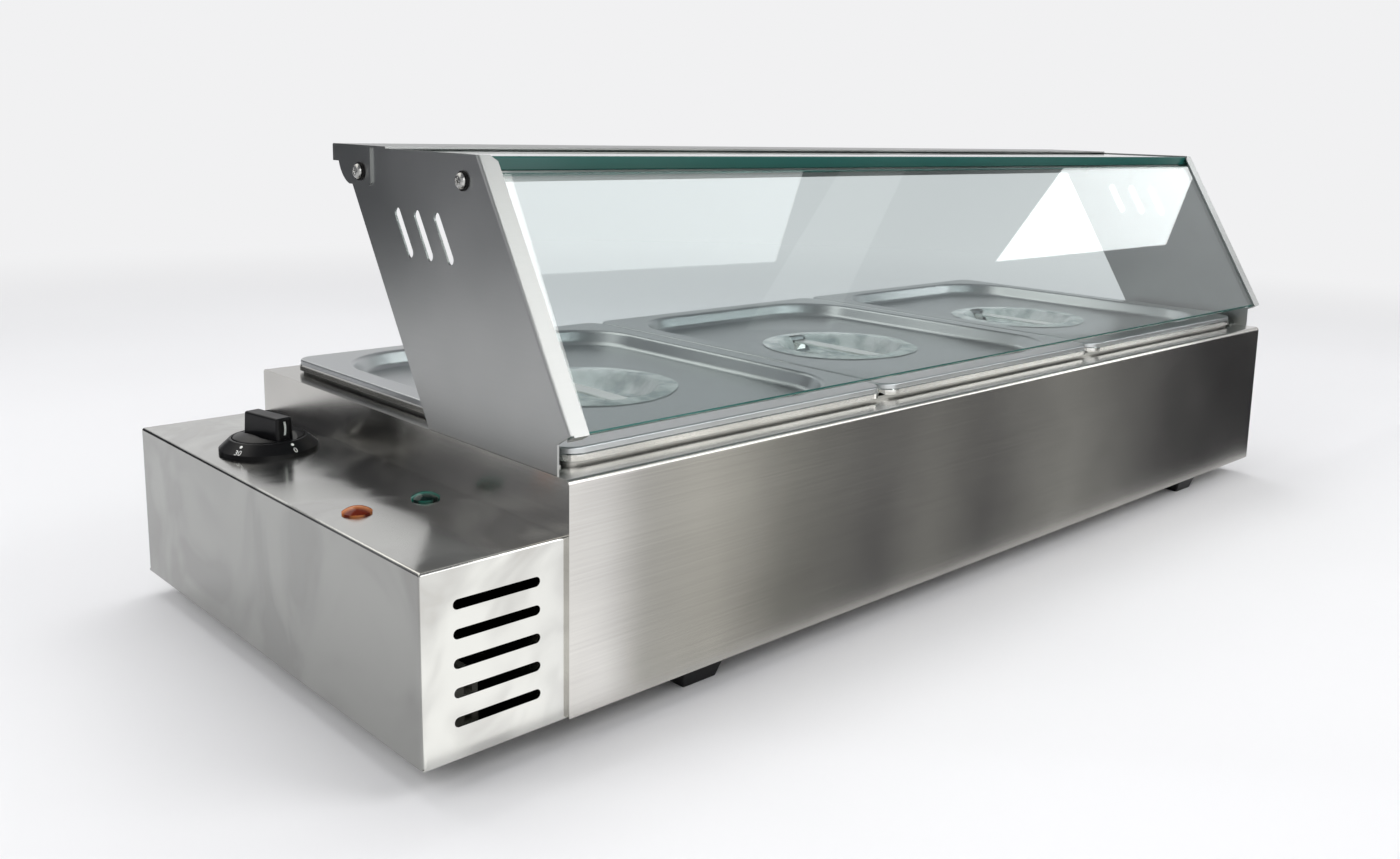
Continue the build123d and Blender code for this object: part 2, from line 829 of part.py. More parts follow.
for pan_number in range(pan_count):
    centre_x = middle_x + (pan_number - (pan_count - 1) / 2) * pan_pitch

    with BuildPart() as pan:
        rounded_plate(centre_x, pan_plan_x, pan_plan_y, pan_corner, pan_top, -pan_rim_drop)
        chamfer(pan.faces().sort_by(Axis.Z)[-1].edges(), rim_edge)
        rounded_plate(
            centre_x,
            pan_plan_x - 2 * pan_gauge,
            pan_plan_y - 2 * pan_gauge,
            pan_corner - pan_gauge,
            pan_top - pan_rim_drop,
            pan_rim_drop - pan_gauge,
            Mode.SUBTRACT,
        )
        tapered_well(
            centre_x,
            mouth_x + 2 * pan_gauge,
            mouth_y + 2 * pan_gauge,
            pan_mouth_corner + pan_gauge,
            pan_wall_draw,
            pan_top - pan_gauge,
            pan_depth - pan_gauge,
            pan_floor_bend + pan_gauge,
            Mode.ADD,
        )
        tapered_well(
            centre_x,
            mouth_x,
            mouth_y,
            pan_mouth_corner,
            pan_wall_draw,
            pan_top,
            pan_depth - pan_gauge,
            pan_floor_bend,
            Mode.SUBTRACT,
        )
        chamfer(level_edges(pan, pan_top, mouth_x, mouth_y, centre_x), pan_mouth_edge)
    finish(pan, f"pan_{pan_number + 1}")

    with BuildPart() as lid:
        rounded_plate(
            centre_x, lid_plan_x, lid_plan_y, pan_corner - lid_inset, pan_top, lid_rim_height
        )
        fillet(lid.faces().sort_by(Axis.Z)[-1].edges(), lid_rim_edge)
        rounded_plate(
            centre_x,
            lid_plan_x - 2 * lid_gauge,
            lid_plan_y - 2 * lid_gauge,
            pan_corner - lid_inset - lid_gauge,
            pan_top,
            lid_rim_height - lid_gauge,
            Mode.SUBTRACT,
        )
        tapered_well(
            centre_x,
            recess_x + 2 * lid_gauge,
            recess_y + 2 * lid_gauge,
            lid_recess_corner + lid_gauge,
            lid_recess_draw,
            lid_top - lid_gauge,
            lid_recess_depth,
            lid_floor_bend + lid_gauge,
            Mode.ADD,
        )
        dish(centre_x, lid_gauge, Mode.ADD)
        tapered_well(
            centre_x,
            recess_x,
            recess_y,
            lid_recess_corner,
            lid_recess_draw,
            lid_top,
            lid_recess_depth,
            lid_floor_bend,
            Mode.SUBTRACT,
        )
        dish(centre_x, 0, Mode.SUBTRACT)
        fillet(level_edges(lid, lid_top, recess_x, recess_y, centre_x), lid_mouth_bend)
    finish(lid, f"lid_{pan_number + 1}")

    with BuildPart() as lid_handle:
        with BuildSketch(Plane.YZ.offset(centre_x - strap_width / 2)) as strap_section:
            half_top = dish_wall(strap_top) - strap_weld_gap
            half_foot = dish_wall(strap_foot) - strap_weld_gap
            with BuildLine():
                Polyline(
                    (middle_y - half_foot, strap_foot),
                    (middle_y - half_top, strap_top),
                    (middle_y + half_top, strap_top),
                    (middle_y + half_foot, strap_foot),
                    (middle_y + half_foot - strap_gauge, strap_foot),
                    (middle_y + half_top - 2 * strap_gauge, strap_top - strap_gauge),
                    (middle_y - half_top + 2 * strap_gauge, strap_top - strap_gauge),
                    (middle_y - half_foot + strap_gauge, strap_foot),
                    close=True,
                )
            make_face()
        extrude(amount=strap_width)
        fillet(lid_handle.edges().filter_by(Axis.X).group_by(Axis.Z)[-1], strap_gauge)
    finish(lid_handle, f"lid_handle_{pan_number + 1}")

# Thermostat: body under the cover, its shaft, and the two screws that hold it and the dial
with BuildPart() as thermostat_body:
    with BuildSketch(Plane.XY.offset(box_under)):
        with Locations((dial_x, dial_y)):
            RectangleRounded(thermostat_size, thermostat_size, thermostat_edge)
    extrude(amount=-thermostat_height)
    with Locations((dial_x, dial_y, box_under)):
        Hole(shaft_radius + shaft_play, depth=shaft_seat)
    with Locations(*[(x, y, box_under) for x, y in dial_screw_places]):
        Hole(dial_screw_radius, depth=dial_screw_length)
finish(thermostat_body, "thermostat_body")

shaft_bottom = box_under - shaft_seat + hole_play
shaft_top = box_top + shaft_reach
flat_bottom = box_top + knob_hub_bottom

with BuildPart() as thermostat_shaft:
    with BuildSketch(Plane.XY.offset(shaft_bottom)):
        with Locations((dial_x, dial_y)):
            Circle(shaft_radius)
    extrude(amount=shaft_top - shaft_bottom)
    with BuildSketch(Plane.XY.offset(flat_bottom)):
        with Locations((dial_x, dial_y + shaft_flat)):
            Rectangle(2 * shaft_radius, shaft_radius, align=(Align.CENTER, Align.MIN))
    extrude(amount=shaft_top - flat_bottom, mode=Mode.SUBTRACT)
finish(thermostat_shaft, "thermostat_shaft")

web_top = box_top + bezel_web

with BuildPart() as dial_screws:
    with BuildSketch(Plane.XY.offset(web_top)):
        with Locations(*dial_screw_places):
            Circle(dial_screw_head_radius)
    extrude(amount=dial_screw_head_height)
    chamfer(dial_screws.faces().group_by(Axis.Z)[-1].edges(), dial_screw_head_height / 2)
    with BuildSketch(Plane.XY.offset(web_top)):
        with Locations(*dial_screw_places):
            Circle(dial_screw_radius)
    extrude(amount=box_under - dial_screw_length + hole_play - web_top)
finish(dial_screws, "dial_screws")

# Dial bezel: a moulded cone with a flat web under the knob
bezel_inner = knob_radius + knob_play
with BuildPart() as dial_bezel:
    with BuildSketch(Plane.XZ.offset(-dial_y)):
        with BuildLine():
            Polyline(
                (dial_x + shaft_hole_radius, box_top),
                (dial_x + bezel_radius, box_top),
                (dial_x + bezel_radius, box_top + 2 * bezel_web),
                (dial_x + bezel_rim_radius, box_top + bezel_height),
                (dial_x + bezel_inner, box_top + bezel_height),
                (dial_x + bezel_inner, web_top),
                (dial_x + shaft_hole_radius, web_top),
                close=True,
            )
        make_face()
    revolve(axis=Axis((dial_x, dial_y, 0), (0, 0, 1)))
    outer_rim = dial_bezel.edges().filter_by(GeomType.CIRCLE).group_by(Axis.Z)[-1]
    fillet(outer_rim.sort_by(SortBy.RADIUS)[-1], (bezel_rim_radius - bezel_inner) / 2)
    with Locations(*[(x, y, web_top) for x, y in dial_screw_places]):
        Hole(dial_screw_radius + hole_play, depth=bezel_web)
finish(dial_bezel, "dial_bezel")

# Knob: a domed cap with a trough along each side of its grip bar, and a D-shaped bore. The
# grip's end is recessed between two shoulders where the pointer is printed
pointer = radians(pointer_turn)
across_grip = Plane(
    origin=(dial_x, dial_y, box_top),
    x_dir=(cos(pointer), sin(pointer), 0),
    z_dir=(sin(pointer), -cos(pointer), 0),
)

with BuildPart() as knob:
    with BuildSketch(Plane.XZ.offset(-dial_y)) as cap_section:
        with BuildLine():
            cap_side = Polyline(
                (dial_x, box_top + knob_crown),
                (dial_x, box_top + knob_hub_bottom),
                (dial_x + knob_hub_radius, box_top + knob_hub_bottom),
                (dial_x + knob_hub_radius, box_top + knob_underside),
                (dial_x + knob_radius, box_top + knob_underside),
                (dial_x + knob_radius, box_top + knob_shoulder),
            )
            cap_rise = knob_crown - knob_shoulder
            cap_radius = (knob_radius**2 + cap_rise**2) / (2 * cap_rise)
            RadiusArc(cap_side @ 1, cap_side @ 0, -cap_radius)
        make_face()
        fillet(cap_section.vertices().group_by(Axis.X)[-1].sort_by(Axis.Y)[-1], knob_edge)
    revolve(axis=Axis((dial_x, dial_y, 0), (0, 0, 1)))
    with BuildSketch(across_grip.offset(-knob_radius)):
        for side in (-1, 1):
            with BuildLine():
                Polyline(
                    (0, trough_low),
                    (side * grip_width / 2, trough_low),
                    (side * trough_half, trough_high),
                    (side * trough_half, knob_crown),
                    (0, knob_crown),
                    close=True,
                )
            make_face()
    extrude(amount=2 * knob_radius, mode=Mode.SUBTRACT)
    with BuildSketch(Plane.XY.offset(box_top + knob_underside)):
        with Locations((dial_x, dial_y)):
            RectangleRounded(grip_width, grip_length, grip_corner, rotation=pointer_turn)
    extrude(amount=grip_top - knob_underside, taper=grip_draft)
    fillet(knob.faces().sort_by(Axis.Z)[-1].edges(), grip_edge)
    with BuildSketch(across_grip.offset(grip_length / 2 - grip_end_recess)):
        with Locations((0, grip_end_top)):
            Rectangle(grip_end_width, grip_end_top - knob_shoulder, align=(Align.CENTER, Align.MAX))
    extrude(amount=knob_radius, mode=Mode.SUBTRACT)
    with BuildSketch(Plane.XY.offset(box_top + knob_hub_bottom)):
        with Locations((dial_x, dial_y)):
            Circle(shaft_radius)
        with Locations((dial_x, dial_y + shaft_flat)):
            Rectangle(
                2 * shaft_radius,
                shaft_radius,
                align=(Align.CENTER, Align.MIN),
                mode=Mode.SUBTRACT,
            )
    extrude(amount=shaft_reach - knob_hub_bottom + hole_play, mode=Mode.SUBTRACT)
finish(knob, "knob")

# Indicator lamps: domed lens on top of the cover, holder and nut under it
for lens_name, lens_out in (("amber_lens", amber_out), ("green_lens", green_out)):
    lens_x = left - lens_out
    with BuildPart() as lens:
        with BuildSketch(Plane.XZ.offset(-lamp_y)):
            with BuildLine():
                lens_side = Polyline(
                    (lens_x, box_top + lens_height),
                    (lens_x, box_top - lens_spigot),
                    (lens_x + lens_spigot_radius, box_top - lens_spigot),
                    (lens_x + lens_spigot_radius, box_top),
                    (lens_x + lens_radius, box_top),
                    (lens_x + lens_radius, box_top + lens_flange),
                )
                rise = lens_height - lens_flange
                dome_radius = (lens_radius**2 + rise**2) / (2 * rise)
                RadiusArc(lens_side @ 1, lens_side @ 0, -dome_radius)
            make_face()
        revolve(axis=Axis((lens_x, lamp_y, 0), (0, 0, 1)))
    finish(lens, lens_name)

with BuildPart() as lamp_holders:
    with BuildSketch(Plane.XY.offset(box_top)):
        with Locations(*lamp_places):
            Circle(lamp_radius)
    extrude(amount=-lamp_length)
    with BuildSketch(Plane.XY.offset(box_top)):
        with Locations(*lamp_places):
            Circle(lens_spigot_radius)
    extrude(amount=-lens_spigot, mode=Mode.SUBTRACT)
finish(lamp_holders, "lamp_holders")

with BuildPart() as lamp_nuts:
    with BuildSketch(Plane.XY.offset(box_under)):
        with Locations(*lamp_places):
            RegularPolygon(lamp_nut_flats / 2, 6, major_radius=False)
            Circle(lamp_radius, mode=Mode.SUBTRACT)
    extrude(amount=-lamp_nut_height)
finish(lamp_nuts, "lamp_nuts")

# Heating element: one bent tube lying low in the tank, both ends through its left wall
element_start = left - terminal_reach
element_neck_x = tank_left + element_neck
element_end_x = tank_right - element_end_gap

with BuildPart() as heating_element:
    with BuildLine(Plane.XY.offset(element_z)) as element_path:
        FilletPolyline(
            (element_start, middle_y - element_inner_half),
            (element_neck_x, middle_y - element_inner_half),
            (element_neck_x, middle_y - element_outer_half),
            (element_end_x, middle_y - element_outer_half),
            (element_end_x, middle_y + element_outer_half),
            (element_neck_x, middle_y + element_outer_half),
            (element_neck_x, middle_y + element_inner_half),
            (element_start, middle_y + element_inner_half),
            radius=element_bend,
        )
    with BuildSketch(Plane.YZ.offset(element_start)):
        with Locations((middle_y - element_inner_half, element_z)):
            Circle(element_radius)
    sweep(path=element_path.wires()[0])
finish(heating_element, "heating_element")

with BuildPart() as element_glands:
    with BuildSketch(Plane.YZ.offset(tank_left)):
        with Locations(*element_ends):
            RegularPolygon(gland_flats / 2, 6, major_radius=False)
            Circle(element_radius, mode=Mode.SUBTRACT)
    extrude(amount=gland_nut_height)
    with BuildSketch(Plane.YZ.offset(tank_left - tank_gauge)):
        with Locations(*element_ends):
            RegularPolygon(gland_flats / 2, 6, major_radius=False)
            Circle(element_radius, mode=Mode.SUBTRACT)
    extrude(amount=-gland_nut_height)
finish(element_glands, "element_glands")

# Supports: bridges across the tank floor that carry the element's long legs
support_top = element_z - element_radius - support_play
support_half = element_outer_half + 2 * element_radius

support_middle = (element_neck_x + element_end_x) / 2

with BuildPart() as element_supports:
    for support_number in range(support_count):
        support_x = support_middle + (support_number - (support_count - 1) / 2) * support_pitch
        with BuildSketch(Plane.YZ.offset(support_x - support_width / 2)):
            with BuildLine():
                Polyline(
                    (middle_y - support_half, tank_floor),
                    (middle_y - support_half, support_top),
                    (middle_y + support_half, support_top),
                    (middle_y + support_half, tank_floor),
                    (middle_y + support_half - support_gauge, tank_floor),
                    (middle_y + support_half - support_gauge, support_top - support_gauge),
                    (middle_y - support_half + support_gauge, support_top - support_gauge),
                    (middle_y - support_half + support_gauge, tank_floor),
                    close=True,
                )
            make_face()
        extrude(amount=support_width)
finish(element_supports, "element_supports")

# Bulb under the tank floor, with its capillary back to the thermostat
bulb_start = left + bulb_inset
bulb_z = tank_under - bulb_radius
capillary_top = box_under - thermostat_height

with BuildPart() as thermostat_bulb:
    with BuildSketch(Plane.YZ.offset(bulb_start)):
        with Locations((middle_y, bulb_z)):
            Circle(bulb_radius)
    extrude(amount=bulb_length)
    chamfer(thermostat_bulb.edges().filter_by(GeomType.CIRCLE), bulb_radius / 3)
    with BuildLine() as capillary_path:
        FilletPolyline(
            (bulb_start + capillary_bend, middle_y, bulb_z),
            (dial_x, middle_y, bulb_z),
            (dial_x, dial_y, bulb_z),
            (dial_x, dial_y, capillary_top),
            radius=capillary_bend,
        )
    with BuildSketch(Plane.YZ.offset(bulb_start + capillary_bend)):
        with Locations((middle_y, bulb_z)):
            Circle(capillary_radius)
    sweep(path=capillary_path.wires()[0])
finish(thermostat_bulb, "thermostat_bulb")

# Clip that holds the bulb against the tank floor
clip_middle_x = bulb_start + bulb_length / 2
clip_half = bulb_radius + clip_gauge
with BuildPart() as bulb_clip:
    with BuildSketch(Plane.YZ.offset(clip_middle_x - clip_width / 2)):
        with BuildLine():
            clip_outer = Polyline(
                (middle_y - clip_half, bulb_z),
                (middle_y - clip_half, tank_under - clip_gauge),
                (middle_y - clip_half - clip_ear, tank_under - clip_gauge),
                (middle_y - clip_half - clip_ear, tank_under),
                (middle_y - bulb_radius, tank_under),
                (middle_y - bulb_radius, bulb_z),
            )
            ThreePointArc(
                clip_outer @ 1,
                (middle_y, bulb_z - bulb_radius),
                (middle_y + bulb_radius, bulb_z),
            )
            Polyline(
                (middle_y + bulb_radius, bulb_z),
                (middle_y + bulb_radius, tank_under),
                (middle_y + clip_half + clip_ear, tank_under),
                (middle_y + clip_half + clip_ear, tank_under - clip_gauge),
                (middle_y + clip_half, tank_under - clip_gauge),
                (middle_y + clip_half, bulb_z),
            )
            ThreePointArc(
                (middle_y + clip_half, bulb_z),
                (middle_y, bulb_z - clip_half),
                clip_outer @ 0,
            )
        make_face()
    extrude(amount=clip_width)
finish(bulb_clip, "bulb_clip")

# Mains inlet gland through the rear of the control box, with its nut inside
with BuildPart() as cable_gland:
    with BuildSketch(Plane.XZ.offset(-rear)):
        with Locations((inlet_x, inlet_z)):
            RegularPolygon(inlet_hex_flats / 2, 6, major_radius=False)
    extrude(amount=-inlet_hex_height)
    with BuildSketch(Plane.XZ.offset(-rear - inlet_hex_height)):
        with Locations((inlet_x, inlet_z)):
            Circle(inlet_hex_flats / 2)
    extrude(amount=-(inlet_reach - inlet_hex_height), taper=inlet_cap_taper)
    with BuildSketch(Plane.XZ.offset(-rear)):
        with Locations((inlet_x, inlet_z)):
            Circle(inlet_thread_radius)
    extrude(amount=shell_gauge + 2 * inlet_nut_height)
    with BuildSketch(Plane.XZ.offset(-rear - inlet_reach)):
        with Locations((inlet_x, inlet_z)):
            Circle(inlet_bore_radius)
    extrude(amount=inlet_reach + shell_gauge + 2 * inlet_nut_height, mode=Mode.SUBTRACT)
finish(cable_gland, "cable_gland")

with BuildPart() as gland_nut:
    with BuildSketch(Plane.XZ.offset(-rear + shell_gauge)):
        with Locations((inlet_x, inlet_z)):
            RegularPolygon(inlet_hex_flats / 2, 6, major_radius=False)
            Circle(inlet_thread_radius, mode=Mode.SUBTRACT)
    extrude(amount=inlet_nut_height)
finish(gland_nut, "gland_nut")

# Terminal block on the control box base
with BuildPart() as terminal_block:
    terminal_y = front + terminal_depth
    terminal_bottom = base + shell_gauge
    with BuildSketch(Plane.XY.offset(terminal_bottom)):
        with Locations((inlet_x, terminal_y)):
            Rectangle(terminal_ways * terminal_pitch, terminal_width)
    extrude(amount=terminal_height)
    with BuildSketch(Plane.XY.offset(terminal_bottom + terminal_height)):
        with Locations((inlet_x, terminal_y)):
            with GridLocations(terminal_pitch, terminal_width / 2, terminal_ways, 2):
                Rectangle(terminal_screw_width, terminal_screw_width)
    extrude(amount=-terminal_height / 2, mode=Mode.SUBTRACT)
    with BuildSketch(Plane.XZ.offset(-terminal_y - terminal_width / 2)):
        with Locations((inlet_x, terminal_bottom + terminal_height / 2)):
            with GridLocations(terminal_pitch, terminal_pitch, terminal_ways, 1):
                Rectangle(terminal_way_width, terminal_way_width)
    extrude(amount=terminal_width, mode=Mode.SUBTRACT)
finish(terminal_block, "terminal_block")
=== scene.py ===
"""Countertop food warmer: finishes, films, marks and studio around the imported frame."""

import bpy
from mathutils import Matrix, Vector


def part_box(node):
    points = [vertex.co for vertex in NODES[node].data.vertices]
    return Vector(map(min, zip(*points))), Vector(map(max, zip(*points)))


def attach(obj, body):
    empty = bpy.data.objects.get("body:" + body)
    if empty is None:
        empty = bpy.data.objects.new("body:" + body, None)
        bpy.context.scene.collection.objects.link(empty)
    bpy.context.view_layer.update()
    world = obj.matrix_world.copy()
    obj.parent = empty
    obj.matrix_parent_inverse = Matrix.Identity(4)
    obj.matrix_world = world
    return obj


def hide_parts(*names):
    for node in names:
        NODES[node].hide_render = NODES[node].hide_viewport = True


bl_info = {
    "name": "Countertop food warmer",
    "version": (1, 0, 0),
    "blender": (4, 5, 0),
    "location": "3D View > Sidebar > Warmer",
    "description": "Dresses the packed food warmer and sets up its studio",
    "category": "Object",
}

import math

import bmesh
import bpy
from mathutils import Matrix, Vector
from mathutils.bvhtree import BVHTree

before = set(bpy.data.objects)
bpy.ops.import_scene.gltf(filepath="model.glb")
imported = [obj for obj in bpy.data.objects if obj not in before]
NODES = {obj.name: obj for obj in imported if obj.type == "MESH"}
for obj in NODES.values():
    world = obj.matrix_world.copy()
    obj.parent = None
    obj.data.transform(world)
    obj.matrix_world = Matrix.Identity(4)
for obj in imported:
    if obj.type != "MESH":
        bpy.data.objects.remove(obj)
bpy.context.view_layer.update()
MM = 0.001

# How far the sloping pane leans back from upright
SLOPE_LEAN = math.radians(31.07)

# Lids: from the rim's top down to the floor, and the sunk dish in that floor
LID_COUNT = 3
LID_FLOOR_DROP = 11.3 * MM
DISH_FLOOR_RADIUS = 40 * MM
DISH_TOP_RADIUS = 52.5 * MM
DISH_DEPTH = 12.6 * MM
# The film floats this far over the metal, and is cut out round the strap's feet
FILM_GAP = 0.35 * MM
STRAP_FOOT_HALF_WIDTH = 8.2 * MM
STRAP_FOOT_START = 41 * MM
FILM_RAGGEDNESS = 6 * MM
FILM_SEED_STEP = 3.7

# Dial: the bezel's brim and crest, and where its marks lie on the cone between them
BEZEL_BRIM_HEIGHT = 2.4 * MM
BEZEL_CREST_RADIUS = 23.2 * MM
MARK_COUNT = 5
# Degrees Celsius from one number to the next
NUMBER_STEP = 30
MARK_INSET = 3.1 * MM
DOT_RISE = 1.9 * MM
DOT_THICKNESS = 0.1 * MM
DOT_SIDES = 20
INK_GAP = 0.05 * MM
INK_THICKNESS = 0.04 * MM
ZERO_BEARING = math.radians(-80)

# Pointer on the knob's grip: it bows a little and starts below the grip's top
POINTER_STEPS = 9
POINTER_BOW = 0.5 * MM
POINTER_DROP = 2.4 * MM
POINTER_PROUD = 0.06 * MM
POINTER_SUNK = 0.1 * MM
RAY_REACH = 40 * MM

# Fixes the order of the angles at which the guard screws stopped
SCREW_SEED = 4

# Brushed sheet: a line is this many times longer than wide, and a face whose normal's X is above
# the limit is an end, where the lines run along Y instead of X
LINE_STRETCH = 130
END_FACING = 0.7

# The photograph's frame, in which the pixel places below are given
FRAME_WIDTH = 1400
FRAME_HEIGHT = 859
SENSOR_WIDTH = 36
# Metres from the sloping pane to the cards that it mirrors
PANE_CARD_REACH = 1.6


def linear(code):
    """An sRGB hex colour as linear RGBA."""
    channels = [int(code[i : i + 2], 16) / 255 for i in (1, 3, 5)]
    curve = [c / 12.92 if c <= 0.04045 else ((c + 0.055) / 1.055) ** 2.4 for c in channels]
    return (*curve, 1.0)


def add(tree, kind, inputs=None, stops=(), **settings):
    """A node with its settings, its inputs set or linked, and a ramp's pairs of place and colour."""
    made = tree.nodes.new(kind)
    for key, value in settings.items():
        setattr(made, key, value)
    if stops:
        ramp = made.color_ramp.elements
        while len(ramp) < len(stops):
            ramp.new(0.5)
        for stop, (place, code) in zip(ramp, stops):
            stop.position = place
            stop.color = linear(code)
    for key, value in (inputs or {}).items():
        if isinstance(value, bpy.types.NodeSocket):
            tree.links.new(value, made.inputs[key])
        else:
            made.inputs[key].default_value = value
    return made


def noise_scale(size):
    """Scale at which a noise's features come out this many millimetres across."""
    return 1 / (size * MM)


def slope_normal():
    """Outward normal of the sloping pane."""
    return Vector((0.0, -math.cos(SLOPE_LEAN), math.sin(SLOPE_LEAN)))


def new_material(name):
    """An empty node material and its surface shader."""
    material = bpy.data.materials.new(name)
    material.use_nodes = True
    tree = material.node_tree
    tree.nodes.clear()
    output = add(tree, "ShaderNodeOutputMaterial")
    shader = add(tree, "ShaderNodeBsdfPrincipled")
    tree.links.new(shader.outputs["BSDF"], output.inputs["Surface"])
    return material, tree, shader, output


def dress(names, material):
    """Gives CAD nodes a material."""
    for name in names:
        mesh = NODES[name].data
        mesh.materials.clear()
        mesh.materials.append(material)


def finish_piece(name, mesh, material, body, smooth=True):
    """Links a mesh as a piece that rides on a body."""
    piece = bpy.data.objects.new(name, mesh)
    bpy.context.scene.collection.objects.link(piece)
    mesh.materials.clear()
    mesh.materials.append(material)
    if smooth:
        mesh.polygons.foreach_set("use_smooth", [True] * len(mesh.polygons))
    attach(piece, body)
    return piece


def brushed_sheet(name, tone, worn, roughness, anisotropy, line_mm=0.8, lined=0.18, smear=None):
    """Belt-brushed stainless sheet: faint long lines, and light drawn out across them."""
    material, tree, shader, _ = new_material(name)
    place = add(tree, "ShaderNodeTexCoord").outputs["Object"]
    normal = add(tree, "ShaderNodeNewGeometry").outputs["Normal"]
    facing = add(tree, "ShaderNodeSeparateXYZ", {0: normal})
    sideways = add(tree, "ShaderNodeMath", {0: facing.outputs["X"]}, operation="ABSOLUTE")
    is_end = add(
        tree, "ShaderNodeMath", {0: sideways.outputs[0], 1: END_FACING}, operation="GREATER_THAN"
    )
    # Lines are drawn about ten times coarser than the belt's own, so that they show at all
    across = noise_scale(line_mm)
    along = across / LINE_STRETCH
    scale = add(
        tree,
        "ShaderNodeMix",
        {"Factor": is_end.outputs[0], 4: (along, across, across), 5: (across, along, across)},
        data_type="VECTOR",
    )
    stretched = add(
        tree, "ShaderNodeVectorMath", {0: place, 1: scale.outputs[1]}, operation="MULTIPLY"
    )
    lines = add(
        tree, "ShaderNodeTexNoise", {"Vector": stretched.outputs[0], "Scale": 1.0, "Detail": 2.0}
    )
    clouds = add(
        tree, "ShaderNodeTexNoise", {"Vector": place, "Scale": noise_scale(167), "Detail": 3.0}
    )
    mixed = add(
        tree,
        "ShaderNodeMix",
        {"Factor": 1 - lined, 2: lines.outputs["Fac"], 3: clouds.outputs["Fac"]},
        data_type="FLOAT",
    )
    tint = add(
        tree, "ShaderNodeValToRGB", {"Fac": mixed.outputs[0]}, stops=((0.35, worn), (0.65, tone))
    ).outputs["Color"]
    gloss = add(
        tree,
        "ShaderNodeMapRange",
        {
            "Value": mixed.outputs[0],
            "From Min": 0.35,
            "From Max": 0.65,
            "To Min": roughness - 0.03,
            "To Max": roughness + 0.03,
        },
    ).outputs["Result"]
    if smear is not None:
        tint, gloss = self_adhesive_smears(tree, place, tint, gloss, smear)
        # Painted shade: the box's ends, whose normal runs along X, are mixed partly towards a darker grey
        painted_end_shade = add(tree, "ShaderNodeMath", {0: is_end.outputs[0], 1: 0.55}, operation="MULTIPLY")
        tint = add(
            tree,
            "ShaderNodeMix",
            {"Factor": painted_end_shade.outputs[0], 6: tint, 7: linear("#787977")},
            data_type="RGBA",
        ).outputs[2]
    tree.links.new(tint, shader.inputs["Base Color"])
    tree.links.new(gloss, shader.inputs["Roughness"])
    shader.inputs["Metallic"].default_value = 1.0
    shader.inputs["Anisotropic"].default_value = anisotropy
    lengthwise = add(
        tree,
        "ShaderNodeMix",
        {"Factor": is_end.outputs[0], 4: (1, 0, 0), 5: (0, 1, 0)},
        data_type="VECTOR",
    )
    crosswise = add(
        tree, "ShaderNodeVectorMath", {0: normal, 1: lengthwise.outputs[1]}, operation="CROSS_PRODUCT"
    )
    tree.links.new(crosswise.outputs[0], shader.inputs["Tangent"])
    return material


def self_adhesive_smears(tree, place, tint, gloss, smear):
    """Milky drifts with browner edges, left where the protective film was peeled."""
    drift = add(
        tree,
        "ShaderNodeTexNoise",
        {"Vector": place, "Scale": noise_scale(91), "Detail": 3.0, "Distortion": 1.2},
    ).outputs["Fac"]
    milk = add(
        tree,
        "ShaderNodeMapRange",
        {"Value": drift, "From Min": 0.42, "From Max": 0.62},
        interpolation_type="SMOOTHSTEP",
    ).outputs["Result"]
    milky = add(tree, "ShaderNodeMix", {"Factor": milk, 6: tint, 7: linear(smear)}, data_type="RGBA")
    edge = add(
        tree,
        "ShaderNodeValToRGB",
        {"Fac": drift},
        stops=((0.40, "#000000"), (0.44, "#484848"), (0.47, "#000000"), (0.7, "#000000")),
    ).outputs["Color"]
    browned = add(
        tree,
        "ShaderNodeMix",
        {"Factor": edge, 6: milky.outputs[2], 7: linear("#8f8672")},
        data_type="RGBA",
    )
    dulled = add(tree, "ShaderNodeMath", {0: milk, 1: 0.1, 2: gloss}, operation="MULTIPLY_ADD")
    return browned.outputs[2], dulled.outputs[0]


def satin_steel(name, base, dark, roughness, cloud_mm):
    """Drawn stainless: an even satin left by the press, clouded by handling."""
    material, tree, shader, _ = new_material(name)
    place = add(tree, "ShaderNodeTexCoord").outputs["Object"]
    clouds = add(
        tree, "ShaderNodeTexNoise", {"Vector": place, "Scale": noise_scale(cloud_mm), "Detail": 4.0}
    )
    tint = add(
        tree, "ShaderNodeValToRGB", {"Fac": clouds.outputs["Fac"]}, stops=((0.35, dark), (0.65, base))
    ).outputs["Color"]
    tree.links.new(tint, shader.inputs["Base Color"])
    shader.inputs["Metallic"].default_value = 1.0
    gloss = add(
        tree,
        "ShaderNodeMapRange",
        {
            "Value": clouds.outputs["Fac"],
            "From Min": 0.3,
            "From Max": 0.7,
            "To Min": roughness - 0.04,
            "To Max": roughness + 0.05,
        },
    )
    tree.links.new(gloss.outputs["Result"], shader.inputs["Roughness"])
    return material


